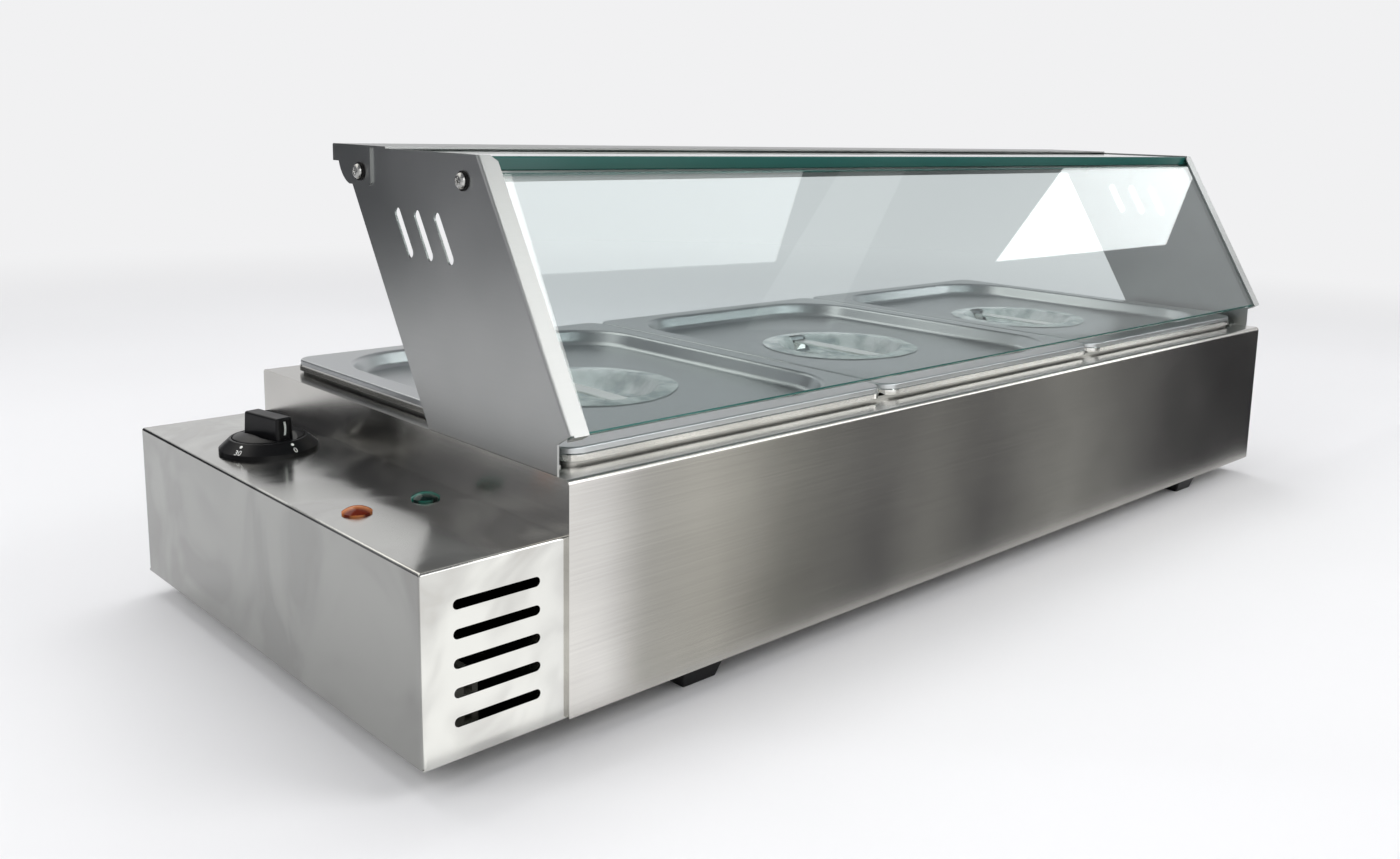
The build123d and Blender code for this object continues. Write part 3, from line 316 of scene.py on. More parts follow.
def float_glass(name, face_normal, edge):
    """Float glass: clear through its face, bottle green where the cut edge is seen."""
    material, tree, shader, output = new_material(name)
    normal = add(tree, "ShaderNodeNewGeometry").outputs["True Normal"]
    squareness = add(
        tree, "ShaderNodeVectorMath", {0: normal, 1: face_normal}, operation="DOT_PRODUCT"
    )
    size = add(tree, "ShaderNodeMath", {0: squareness.outputs["Value"]}, operation="ABSOLUTE")
    is_edge = add(tree, "ShaderNodeMath", {0: size.outputs[0], 1: 0.95}, operation="LESS_THAN")
    shader.inputs["Roughness"].default_value = 0.0
    shader.inputs["Base Color"].default_value = linear("#d6dede")
    shader.inputs["Transmission Weight"].default_value = 1.0
    shader.inputs["IOR"].default_value = 1.5
    rim = add(
        tree,
        "ShaderNodeBsdfPrincipled",
        {
            "Base Color": linear(edge),
            "Roughness": 0.12,
            "IOR": 1.5,
            "Transmission Weight": 0.25,
        },
    )
    mixed = add(
        tree,
        "ShaderNodeMixShader",
        {0: is_edge.outputs[0], 1: shader.outputs["BSDF"], 2: rim.outputs["BSDF"]},
    )
    clear = add(tree, "ShaderNodeBsdfTransparent", {"Color": linear("#e6f3ee")})
    shadow = add(tree, "ShaderNodeLightPath").outputs["Is Shadow Ray"]
    surface = add(
        tree, "ShaderNodeMixShader", {0: shadow, 1: mixed.outputs[0], 2: clear.outputs["BSDF"]}
    )
    tree.links.new(surface.outputs[0], output.inputs["Surface"])
    return material


def moulded_plastic(name, base, roughness):
    """Moulded plastic or rubber: one dyed colour, with the faint dimple of its mould."""
    material, tree, shader, _ = new_material(name)
    place = add(tree, "ShaderNodeTexCoord").outputs["Object"]
    grain = add(
        tree, "ShaderNodeTexNoise", {"Vector": place, "Scale": noise_scale(0.714), "Detail": 2.0}
    )
    handled = add(
        tree, "ShaderNodeTexNoise", {"Vector": place, "Scale": noise_scale(16.7), "Detail": 3.0}
    )
    gloss = add(
        tree,
        "ShaderNodeMapRange",
        {"Value": handled.outputs["Fac"], "To Min": roughness - 0.08, "To Max": roughness + 0.08},
    )
    tree.links.new(gloss.outputs["Result"], shader.inputs["Roughness"])
    shader.inputs["Base Color"].default_value = linear(base)
    shader.inputs["Specular IOR Level"].default_value = 0.2
    bump = add(
        tree,
        "ShaderNodeBump",
        {"Strength": 0.15, "Distance": 0.05 * MM, "Height": grain.outputs["Fac"]},
    )
    tree.links.new(bump.outputs["Normal"], shader.inputs["Normal"])
    return material


def lens_plastic_painted_highlight(name, deep, bright):
    """Dyed polycarbonate lens: its dark dye colour, turned to a painted highlight by the angle between
    surface and view, brightest where the dome turns edge-on.
    """
    material, tree, shader, _ = new_material(name)
    rim = add(tree, "ShaderNodeLayerWeight", {"Blend": 0.5})
    # Painted highlight: the colour runs from bright to the dark dye and back to bright as the surface
    # turns away from the view
    tint = add(
        tree,
        "ShaderNodeValToRGB",
        {"Fac": rim.outputs["Facing"]},
        stops=((0.08, bright), (0.2, deep), (0.4, deep), (0.62, bright)),
    ).outputs["Color"]
    tree.links.new(tint, shader.inputs["Base Color"])
    shader.inputs["Roughness"].default_value = 0.06
    shader.inputs["IOR"].default_value = 1.58
    shader.inputs["Transmission Weight"].default_value = 0.2
    shader.inputs["Specular IOR Level"].default_value = 0.12
    return material


def plated_steel(name, base, roughness):
    """Zinc-plated or bare bright metal for small hardware, with a trace of tool marks."""
    material, tree, shader, _ = new_material(name)
    place = add(tree, "ShaderNodeTexCoord").outputs["Object"]
    marks = add(
        tree, "ShaderNodeTexNoise", {"Vector": place, "Scale": noise_scale(2), "Detail": 2.0}
    )
    gloss = add(
        tree,
        "ShaderNodeMapRange",
        {"Value": marks.outputs["Fac"], "To Min": roughness - 0.06, "To Max": roughness + 0.1},
    )
    tree.links.new(gloss.outputs["Result"], shader.inputs["Roughness"])
    shader.inputs["Base Color"].default_value = linear(base)
    shader.inputs["Metallic"].default_value = 1.0
    return material


def protective_film():
    """Polyethylene film: milky, thin, shiny on its creases, and painted lighter and darker in patches for
    the light on its folds.
    """
    material, tree, shader, output = new_material("polyethylene_film")
    place = add(tree, "ShaderNodeTexCoord").outputs["Object"]
    haze = add(
        tree, "ShaderNodeTexNoise", {"Vector": place, "Scale": noise_scale(16.7), "Detail": 3.0}
    )
    cover = add(
        tree,
        "ShaderNodeMapRange",
        {"Value": haze.outputs["Fac"], "From Min": 0.3, "From Max": 0.7, "To Min": 0.7, "To Max": 0.97},
    )
    # Painted highlight and shade of the folds: the haze noise turns the film's colour from grey-white to
    # white
    folds = add(
        tree,
        "ShaderNodeValToRGB",
        {"Fac": haze.outputs["Fac"]},
        stops=((0.36, "#d8dedf"), (0.56, "#ffffff")),
    )
    tree.links.new(folds.outputs["Color"], shader.inputs["Base Color"])
    shader.inputs["Roughness"].default_value = 0.25
    clear = add(tree, "ShaderNodeBsdfTransparent")
    mixed = add(
        tree,
        "ShaderNodeMixShader",
        {0: cover.outputs["Result"], 1: clear.outputs["BSDF"], 2: shader.outputs["BSDF"]},
    )
    tree.links.new(mixed.outputs[0], output.inputs["Surface"])
    return material


def painted_mark():
    """White pad-printed ink on the dial."""
    material, tree, shader, _ = new_material("pad_printed_ink")
    place = add(tree, "ShaderNodeTexCoord").outputs["Object"]
    wear = add(tree, "ShaderNodeTexNoise", {"Vector": place, "Scale": noise_scale(1.43)})
    tint = add(
        tree,
        "ShaderNodeValToRGB",
        {"Fac": wear.outputs["Fac"]},
        stops=((0.3, "#c9c9c6"), (0.6, "#f2f2ef")),
    )
    tree.links.new(tint.outputs["Color"], shader.inputs["Base Color"])
    shader.inputs["Roughness"].default_value = 0.5
    return material


class WarmerFinishes(bpy.types.PropertyGroup):
    """Colours of the metal, glass and plastic."""

    steel_light: bpy.props.StringProperty(
        name="Steel, light", description="Light end of the brushed steel", default="#cfcdc8"
    )
    steel_dark: bpy.props.StringProperty(
        name="Steel, dark", description="Dark end of the brushed steel", default="#b4b2ae"
    )
    glass_edge: bpy.props.StringProperty(
        name="Glass edge", description="Green of the cut glass edges", default="#2c6a62"
    )
    knob_black: bpy.props.StringProperty(
        name="Knob black", description="Colour of the knob and dial", default="#09090b"
    )


class WarmerFilm(bpy.types.PropertyGroup):
    """The protective film left on each lid."""

    reach: bpy.props.FloatProperty(
        name="Reach", description="Radius of the film disc", default=64 * MM, unit="LENGTH"
    )
    crease: bpy.props.FloatProperty(
        name="Crease", description="Height of the film's creases", default=1.2 * MM, unit="LENGTH"
    )


class WarmerDial(bpy.types.PropertyGroup):
    """Marks printed on the dial and the pointer on the knob."""

    turn: bpy.props.FloatProperty(
        name="Turn", description="Turn from off to full", default=math.radians(290), subtype="ANGLE"
    )
    number_size: bpy.props.FloatProperty(
        name="Number size", description="Size of the dial's numbers", default=5 * MM, unit="LENGTH"
    )
    dot_radius: bpy.props.FloatProperty(
        name="Dot radius", description="Radius of the dot at each number", default=1 * MM, unit="LENGTH"
    )
    pointer_width: bpy.props.FloatProperty(
        name="Pointer width", description="Width of the printed line", default=1.4 * MM, unit="LENGTH"
    )
    pointer_length: bpy.props.FloatProperty(
        name="Pointer length", description="Length of the printed line", default=8.6 * MM, unit="LENGTH"
    )


class WarmerScrews(bpy.types.PropertyGroup):
    """Cross recess and shank of the guard screws."""

    recess_reach: bpy.props.FloatProperty(
        name="Recess reach", description="Centre to the end of an arm", default=2.4 * MM, unit="LENGTH"
    )
    recess_width: bpy.props.FloatProperty(
        name="Recess width", description="Width of an arm", default=1.1 * MM, unit="LENGTH"
    )
    recess_depth: bpy.props.FloatProperty(
        name="Recess depth", description="Depth of the cross", default=1.5 * MM, unit="LENGTH"
    )
    shank_radius: bpy.props.FloatProperty(
        name="Shank radius", description="Radius of the thread", default=2.0 * MM, unit="LENGTH"
    )
    shank_length: bpy.props.FloatProperty(
        name="Shank length", description="Length under the head", default=8.0 * MM, unit="LENGTH"
    )


class WarmerStudio(bpy.types.PropertyGroup):
    """Camera, background and lamps."""

    background: bpy.props.StringProperty(
        name="Background", description="Colour of the backdrop", default="#f1f1f2"
    )
    eye: bpy.props.FloatVectorProperty(
        name="Eye",
        description="Camera position",
        default=(-0.73297, -0.68574, 0.32809),
        subtype="TRANSLATION",
        unit="LENGTH",
    )
    heading: bpy.props.FloatProperty(
        name="Heading",
        description="Camera turn from +Y towards +X",
        default=math.radians(45.264),
        subtype="ANGLE",
    )
    tilt: bpy.props.FloatProperty(
        name="Tilt", description="Camera tilt above level", default=math.radians(-9.994), subtype="ANGLE"
    )
    roll: bpy.props.FloatProperty(
        name="Roll", description="Camera roll", default=math.radians(1.596), subtype="ANGLE"
    )
    lens: bpy.props.FloatProperty(
        name="Lens", description="Focal length on a 36 mm sensor", default=31.84
    )
    shift: bpy.props.FloatVectorProperty(
        name="Shift", description="Shift of the frame, in its widths", size=2, default=(-0.0462, -0.0629)
    )
    front_power: bpy.props.FloatProperty(
        name="Front lamp", description="Power of the front softbox", default=19, unit="POWER"
    )
    left_power: bpy.props.FloatProperty(
        name="Left lamp", description="Power of the left softbox", default=18, unit="POWER"
    )
    overhead_power: bpy.props.FloatProperty(
        name="Overhead lamp", description="Power of the overhead softbox", default=30, unit="POWER"
    )


class WARMER_OT_casing(bpy.types.Operator):
    """Brushed sheet of the body, the control box and the base plates"""

    bl_idname = "warmer.casing"
    bl_label = "Casing"

    def execute(self, context):
        finishes = context.scene.warmer_finishes
        # 430 stainless, belt-brushed along its length: bands of light stand across the grain
        front = brushed_sheet(
            "belt_brushed_stainless", finishes.steel_light, finishes.steel_dark, 0.2, 0.8
        )
        dress(("body_shell", "base_plate"), front)
        # The box's skin is smoother, mirrors the knob, and is smeared where film was peeled
        box = brushed_sheet(
            "film_marked_stainless", "#b6b6b3", "#aeadaa", 0.11, 0.3, lined=0.1, smear="#cacac6"
        )
        dress(("control_box_cover", "control_box_base"), box)
        return {"FINISHED"}


class WARMER_OT_guard(bpy.types.Operator):
    """Folded side plates, rear rail, ledge and brackets of the guard"""

    bl_idname = "warmer.guard"
    bl_label = "Guard"

    def execute(self, context):
        # Cut from smoother stock than the body: satin, with slow clouds from handling
        plate = brushed_sheet("satin_rolled_stainless", "#b4b5b4", "#9ea09f", 0.33, 0.2, lined=0.05)
        names = ("side_plate_left", "side_plate_right", "rear_rail", "glass_ledge")
        dress(names + ("glass_bracket_left", "glass_bracket_right"), plate)
        return {"FINISHED"}


class WARMER_OT_panes(bpy.types.Operator):
    """The two glass panes of the guard"""

    bl_idname = "warmer.panes"
    bl_label = "Glass panes"

    def execute(self, context):
        # Soda-lime float glass, cut and ground: its own green shows only along the cut edges
        edge = context.scene.warmer_finishes.glass_edge
        slope = tuple(slope_normal())
        dress(("front_glass",), float_glass("sloping_float_glass", slope, edge))
        dress(("top_glass",), float_glass("level_float_glass", (0.0, 0.0, 1.0), edge))
        return {"FINISHED"}


class WARMER_OT_pans(bpy.types.Operator):
    """Pans, lids, their handles and the tank"""

    bl_idname = "warmer.pans"
    bl_label = "Pans and lids"

    def execute(self, context):
        # 304 stainless, deep-drawn and left as pressed: an even grey satin with soft highlights
        drawn = satin_steel("drawn_stainless_lid", "#c0c3c4", "#b2b5b7", 0.34, 111)
        # The pans are polished after drawing, so their rims carry sharp bright lines
        polished = satin_steel("polished_stainless_pan", "#d0d0cd", "#c2c2bf", 0.11, 83)
        # The tank stays as drawn, dulled by hot water
        inner = satin_steel("tank_stainless", "#b5b5b1", "#9c9c99", 0.34, 100)
        # Strip rolled bright: the handle is the lightest metal on the lid
        strap = satin_steel("rolled_strap_stainless", "#dededb", "#d0d0cd", 0.16, 50)
        numbers = range(1, LID_COUNT + 1)
        dress([f"lid_{n}" for n in numbers], drawn)
        dress([f"pan_{n}" for n in numbers], polished)
        dress([f"lid_handle_{n}" for n in numbers], strap)
        dress(("water_tank", "element_supports"), inner)
        return {"FINISHED"}


class WARMER_OT_films(bpy.types.Operator):
    """Crumpled film discs over the lids' dishes"""

    bl_idname = "warmer.films"
    bl_label = "Lid films"

    def execute(self, context):
        film = protective_film()
        size = context.scene.warmer_film
        tree = film_tree(film)
        sockets = {s.name: s.identifier for s in tree.interface.items_tree if s.in_out == "INPUT"}
        for number in range(1, LID_COUNT + 1):
            low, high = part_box(f"lid_{number}")
            middle = (low + high) / 2
            holder = bpy.data.objects.new(f"film_maker_{number}", bpy.data.meshes.new("film"))
            context.scene.collection.objects.link(holder)
            modifier = holder.modifiers.new("film", "NODES")
            modifier.node_group = tree
            modifier[sockets["Reach"]] = size.reach
            modifier[sockets["Crease"]] = size.crease
            modifier[sockets["Seed"]] = number * FILM_SEED_STEP
            modifier[sockets["Centre"]] = (middle.x, middle.y, high.z - LID_FLOOR_DROP)
            baked = bpy.data.meshes.new_from_object(
                holder.evaluated_get(context.evaluated_depsgraph_get())
            )
            bpy.data.objects.remove(holder)
            finish_piece(f"lid_film_{number}", baked, film, f"lid_{number}_body")
        return {"FINISHED"}


def film_tree(film):
    """Polar grid that lies on the lid's floor, sinks into the dish and creases."""
    tree = bpy.data.node_groups.new("lid_film", "GeometryNodeTree")
    face = tree.interface
    for name, kind in (
        ("Reach", "NodeSocketFloat"),
        ("Crease", "NodeSocketFloat"),
        ("Seed", "NodeSocketFloat"),
        ("Centre", "NodeSocketVector"),
    ):
        face.new_socket(name, in_out="INPUT", socket_type=kind)
    face.new_socket("Geometry", in_out="OUTPUT", socket_type="NodeSocketGeometry")
    given = add(tree, "NodeGroupInput")
    grid = add(
        tree,
        "GeometryNodeMeshGrid",
        {"Size X": 1.0, "Size Y": 1.0, "Vertices X": 40, "Vertices Y": 144},
    )
    # The grid's X becomes the share of the radius and its Y a full turn
    place = add(tree, "GeometryNodeInputPosition")
    flat = add(tree, "ShaderNodeSeparateXYZ", {0: place.outputs[0]})
    share = add(tree, "ShaderNodeMath", {0: flat.outputs["X"], 1: 0.5}, operation="ADD")
    even = add(
        tree, "ShaderNodeMath", {0: share.outputs[0], 1: given.outputs["Reach"]}, operation="MULTIPLY"
    )
    turn = add(tree, "ShaderNodeMath", {0: flat.outputs["Y"], 1: 2 * math.pi}, operation="MULTIPLY")
    cosine = add(tree, "ShaderNodeMath", {0: turn.outputs[0]}, operation="COSINE")
    sine = add(tree, "ShaderNodeMath", {0: turn.outputs[0]}, operation="SINE")
    # Slightly uneven outline, as torn along the press line
    around = add(
        tree,
        "ShaderNodeCombineXYZ",
        {0: cosine.outputs[0], 1: sine.outputs[0], 2: given.outputs["Seed"]},
    )
    torn = add(
        tree, "ShaderNodeTexNoise", {"Vector": around.outputs[0], "Scale": 1.6, "Detail": 2.0}
    )
    centred = add(tree, "ShaderNodeMath", {0: torn.outputs[0], 1: 0.5}, operation="SUBTRACT")
    ragged = add(
        tree, "ShaderNodeMath", {0: centred.outputs[0], 1: FILM_RAGGEDNESS}, operation="MULTIPLY"
    )
    outer = add(tree, "ShaderNodeMath", {0: share.outputs[0], 1: 6.0}, operation="POWER")
    radius = add(
        tree,
        "ShaderNodeMath",
        {0: ragged.outputs[0], 1: outer.outputs[0], 2: even.outputs[0]},
        operation="MULTIPLY_ADD",
    )
    # Level on the lid's floor, then down the dish wall to the dish's own floor
    depth = add(
        tree,
        "ShaderNodeMapRange",
        {
            "Value": radius.outputs[0],
            "From Min": DISH_FLOOR_RADIUS,
            "From Max": DISH_TOP_RADIUS,
            "To Min": -DISH_DEPTH,
            "To Max": FILM_GAP,
        },
        interpolation_type="SMOOTHSTEP",
    )
    # Creases run outward, because their noise changes faster round the disc than along its radius
    ring = add(
        tree, "ShaderNodeVectorMath", {0: around.outputs[0], 1: (2.2, 2.2, 1.0)}, operation="MULTIPLY"
    )
    drift = add(tree, "ShaderNodeMath", {0: share.outputs[0], 1: 1.2}, operation="MULTIPLY")
    lift = add(tree, "ShaderNodeCombineXYZ", {2: drift.outputs[0]})
    spiral = add(tree, "ShaderNodeVectorMath", {0: ring.outputs[0], 1: lift.outputs[0]}, operation="ADD")
    folds = add(
        tree, "ShaderNodeTexNoise", {"Vector": spiral.outputs[0], "Scale": 3.6, "Detail": 4.0}
    )
    # They are deepest on the dish wall and nearly die out at the rim and in the middle
    wall = add(
        tree, "ShaderNodeMath", {0: share.outputs[0], 1: 2.4, 2: -1.5}, operation="MULTIPLY_ADD"
    )
    away = add(tree, "ShaderNodeMath", {0: wall.outputs[0]}, operation="ABSOLUTE")
    near = add(tree, "ShaderNodeMath", {0: 1.0, 1: away.outputs[0]}, operation="SUBTRACT")
    swell = add(tree, "ShaderNodeMath", {0: near.outputs[0], 1: 0.12}, operation="MAXIMUM")
    shaped = add(
        tree, "ShaderNodeMath", {0: folds.outputs[0], 1: swell.outputs[0]}, operation="MULTIPLY"
    )
    tallest = add(
        tree, "ShaderNodeMath", {0: given.outputs["Crease"], 1: 3.0}, operation="MULTIPLY"
    )
    height = add(
        tree,
        "ShaderNodeMath",
        {0: shaped.outputs[0], 1: tallest.outputs[0], 2: depth.outputs["Result"]},
        operation="MULTIPLY_ADD",
    )
    x = add(tree, "ShaderNodeMath", {0: radius.outputs[0], 1: cosine.outputs[0]}, operation="MULTIPLY")
    y = add(tree, "ShaderNodeMath", {0: radius.outputs[0], 1: sine.outputs[0]}, operation="MULTIPLY")
    spot = add(
        tree, "ShaderNodeCombineXYZ", {0: x.outputs[0], 1: y.outputs[0], 2: height.outputs[0]}
    )
    moved = add(
        tree, "ShaderNodeVectorMath", {0: spot.outputs[0], 1: given.outputs["Centre"]}, operation="ADD"
    )
    placed = add(
        tree, "GeometryNodeSetPosition", {"Geometry": grid.outputs["Mesh"], "Position": moved.outputs[0]}
    )
    merged = add(
        tree, "GeometryNodeMergeByDistance", {"Geometry": placed.outputs[0], "Distance": 0.05 * MM}
    )
    # Cut away where the strap's two feet stand
    there = add(tree, "GeometryNodeInputPosition")
    where = add(
        tree,
        "ShaderNodeVectorMath",
        {0: there.outputs[0], 1: given.outputs["Centre"]},
        operation="SUBTRACT",
    )
    sizes = add(tree, "ShaderNodeVectorMath", {0: where.outputs[0]}, operation="ABSOLUTE")
    local = add(tree, "ShaderNodeSeparateXYZ", {0: sizes.outputs[0]})
    beside = add(
        tree, "ShaderNodeMath", {0: local.outputs["X"], 1: STRAP_FOOT_HALF_WIDTH}, operation="LESS_THAN"
    )
    beyond = add(
        tree, "ShaderNodeMath", {0: local.outputs["Y"], 1: STRAP_FOOT_START}, operation="GREATER_THAN"
    )
    before = add(
        tree, "ShaderNodeMath", {0: local.outputs["Y"], 1: DISH_TOP_RADIUS}, operation="LESS_THAN"
    )
    strip = add(
        tree, "ShaderNodeMath", {0: beside.outputs[0], 1: beyond.outputs[0]}, operation="MULTIPLY"
    )
    cut = add(
        tree, "ShaderNodeMath", {0: strip.outputs[0], 1: before.outputs[0]}, operation="MULTIPLY"
    )
    kept = add(
        tree,
        "GeometryNodeDeleteGeometry",
        {"Geometry": merged.outputs[0], "Selection": cut.outputs[0]},
        domain="FACE",
    )
    real = add(tree, "GeometryNodeRealizeInstances", {"Geometry": kept.outputs[0]})
    painted = add(tree, "GeometryNodeSetMaterial", {"Geometry": real.outputs[0], "Material": film})
    add(tree, "NodeGroupOutput", {"Geometry": painted.outputs[0]})
    return tree


class WARMER_OT_dial(bpy.types.Operator):
    """Knob, dial bezel and their printed marks"""

    bl_idname = "warmer.dial"
    bl_label = "Dial"

    def execute(self, context):
        dial = context.scene.warmer_dial
        # Compression-moulded phenolic: near black, with a broad soft sheen
        black = moulded_plastic("moulded_phenolic", context.scene.warmer_finishes.knob_black, 0.36)
        dress(("knob", "dial_bezel"), black)
        ink = painted_mark()
        low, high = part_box("dial_bezel")
        centre = (low + high) / 2
        radius = (high.x - low.x) / 2
        slant = math.atan2(high.z - low.z - BEZEL_BRIM_HEIGHT, radius - BEZEL_CREST_RADIUS)
        # Numbers and dots stand on the bezel's cone, from zero at the pointer round to the end
        for step in range(MARK_COUNT):
            bearing = ZERO_BEARING - step * dial.turn / (MARK_COUNT - 1)
            out = Vector((math.cos(bearing), math.sin(bearing), 0))
            spot = Vector((centre.x, centre.y, low.z + BEZEL_BRIM_HEIGHT)) + out * (radius - MARK_INSET)
            spot.z += MARK_INSET * math.tan(slant) + INK_GAP
            up = Vector((-out.x * math.cos(slant), -out.y * math.cos(slant), math.sin(slant)))
            normal = Vector((out.x * math.sin(slant), out.y * math.sin(slant), math.cos(slant)))
            right = up.cross(normal)
            turn = Matrix((right, up, normal)).transposed().to_4x4()
            turn.translation = spot
            number = self.number(context, dial, str(step * NUMBER_STEP))
            number.transform(turn)
            finish_piece(f"dial_number_{step}", number, ink, "warmer", smooth=False)
            turn.translation = spot + up * DOT_RISE
            dot = self.dot(dial)
            dot.transform(turn)
            finish_piece(f"dial_dot_{step}", dot, ink, "warmer", smooth=False)
        self.pointer(dial, centre, ink)
        return {"FINISHED"}

    def number(self, context, dial, words):
        """Mesh of one of the dial's numbers, flat at the origin."""
        text = bpy.data.curves.new("dial_number", "FONT")
        text.body = words
        text.size = dial.number_size
        text.extrude = INK_THICKNESS
        text.align_x = "CENTER"
        text.align_y = "TOP"
        maker = bpy.data.objects.new("number_maker", text)
        context.scene.collection.objects.link(maker)
        mesh = bpy.data.meshes.new_from_object(maker.evaluated_get(context.evaluated_depsgraph_get()))
        bpy.data.objects.remove(maker)
        return mesh

    def dot(self, dial):
        """Mesh of a dot, flat at the origin."""
        shape = bmesh.new()
        bmesh.ops.create_cone(
            shape,
            cap_ends=True,
            segments=DOT_SIDES,
            radius1=dial.dot_radius,
            radius2=dial.dot_radius,
            depth=DOT_THICKNESS,
        )
        mesh = bpy.data.meshes.new("dial_dot")
        shape.to_mesh(mesh)
        shape.free()
        return mesh

    def pointer(self, dial, centre, ink):
        """White line printed down the front end of the knob's grip."""
        mesh = NODES["knob"].data
        surface = BVHTree.FromPolygons(
            [v.co.copy() for v in mesh.vertices], [tuple(p.vertices) for p in mesh.polygons]
        )
        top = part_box("knob")[1].z
        outward = Vector((math.cos(ZERO_BEARING), math.sin(ZERO_BEARING), 0))
        beside = Vector((-outward.y, outward.x, 0))
        half = dial.pointer_width / 2
        verts = []
        for n in range(POINTER_STEPS):
            share = n / (POINTER_STEPS - 1)
            height = top - POINTER_DROP - share * dial.pointer_length
            bow = POINTER_BOW * (1 - (2 * share - 1) ** 2)
            spots = []
            for side in (bow - half, bow + half):
                start = Vector((centre.x, centre.y, height)) + outward * RAY_REACH + beside * side
                spots.append(surface.ray_cast(start, -outward)[0])
            verts += [spot + outward * POINTER_PROUD for spot in spots]
            verts += [spot - outward * POINTER_SUNK for spot in reversed(spots)]
        last = 4 * POINTER_STEPS - 1
        faces = [(0, 1, 2, 3), (last, last - 1, last - 2, last - 3)]
        for n in range(POINTER_STEPS - 1):
            for k in range(4):
                a, b = 4 * n + k, 4 * n + (k + 1) % 4
                faces.append((b, a, a + 4, b + 4))
        line = bpy.data.meshes.new("knob_pointer")
        line.from_pydata(verts, [], faces)
        shape = bmesh.new()
        shape.from_mesh(line)
        bmesh.ops.recalc_face_normals(shape, faces=shape.faces)
        shape.to_mesh(line)
        shape.free()
        finish_piece("knob_pointer", line, ink, "knob", smooth=False)


class WARMER_OT_lamps(bpy.types.Operator):
    """Indicator lamps"""

    bl_idname = "warmer.lamps"
    bl_label = "Lamps"

    def execute(self, context):
        # Clear-dyed polycarbonate: a dark heart inside a painted bright ring of highlight
        dress(("amber_lens",), lens_plastic_painted_highlight("amber_polycarbonate", "#6e2008", "#d07a3c"))
        dress(("green_lens",), lens_plastic_painted_highlight("green_polycarbonate", "#01201c", "#14695a"))
        # Moulded nylon: black and matt
        holder = moulded_plastic("lamp_nylon", "#1a1a1c", 0.45)
        dress(("lamp_holders", "lamp_nuts", "gland_nut", "cable_gland"), holder)
        return {"FINISHED"}


def screw_seats():
    """Seat point, outward side, head radius and head rise of each guard screw."""
    corners = [v.co for v in NODES["guard_screws"].data.vertices]
    low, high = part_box("guard_screws")
    middle = (low + high) / 2
    seats = []
    for side in (-1, 1):
        for half in (-1, 1):
            own = [
                c for c in corners if (c.x - middle.x) * side > 0 and (c.y - middle.y) * half > 0
            ]
            y = (min(c.y for c in own) + max(c.y for c in own)) / 2
            z = (min(c.z for c in own) + max(c.z for c in own)) / 2
            radius = max(c.z for c in own) - z
            brim = [c.x * side for c in own if math.hypot(c.y - y, c.z - z) > 0.95 * radius]
            rise = max(c.x * side for c in own) - min(brim)
            seats.append((Vector((min(brim) * side, y, z)), Vector((side, 0, 0)), radius, rise))
    return seats


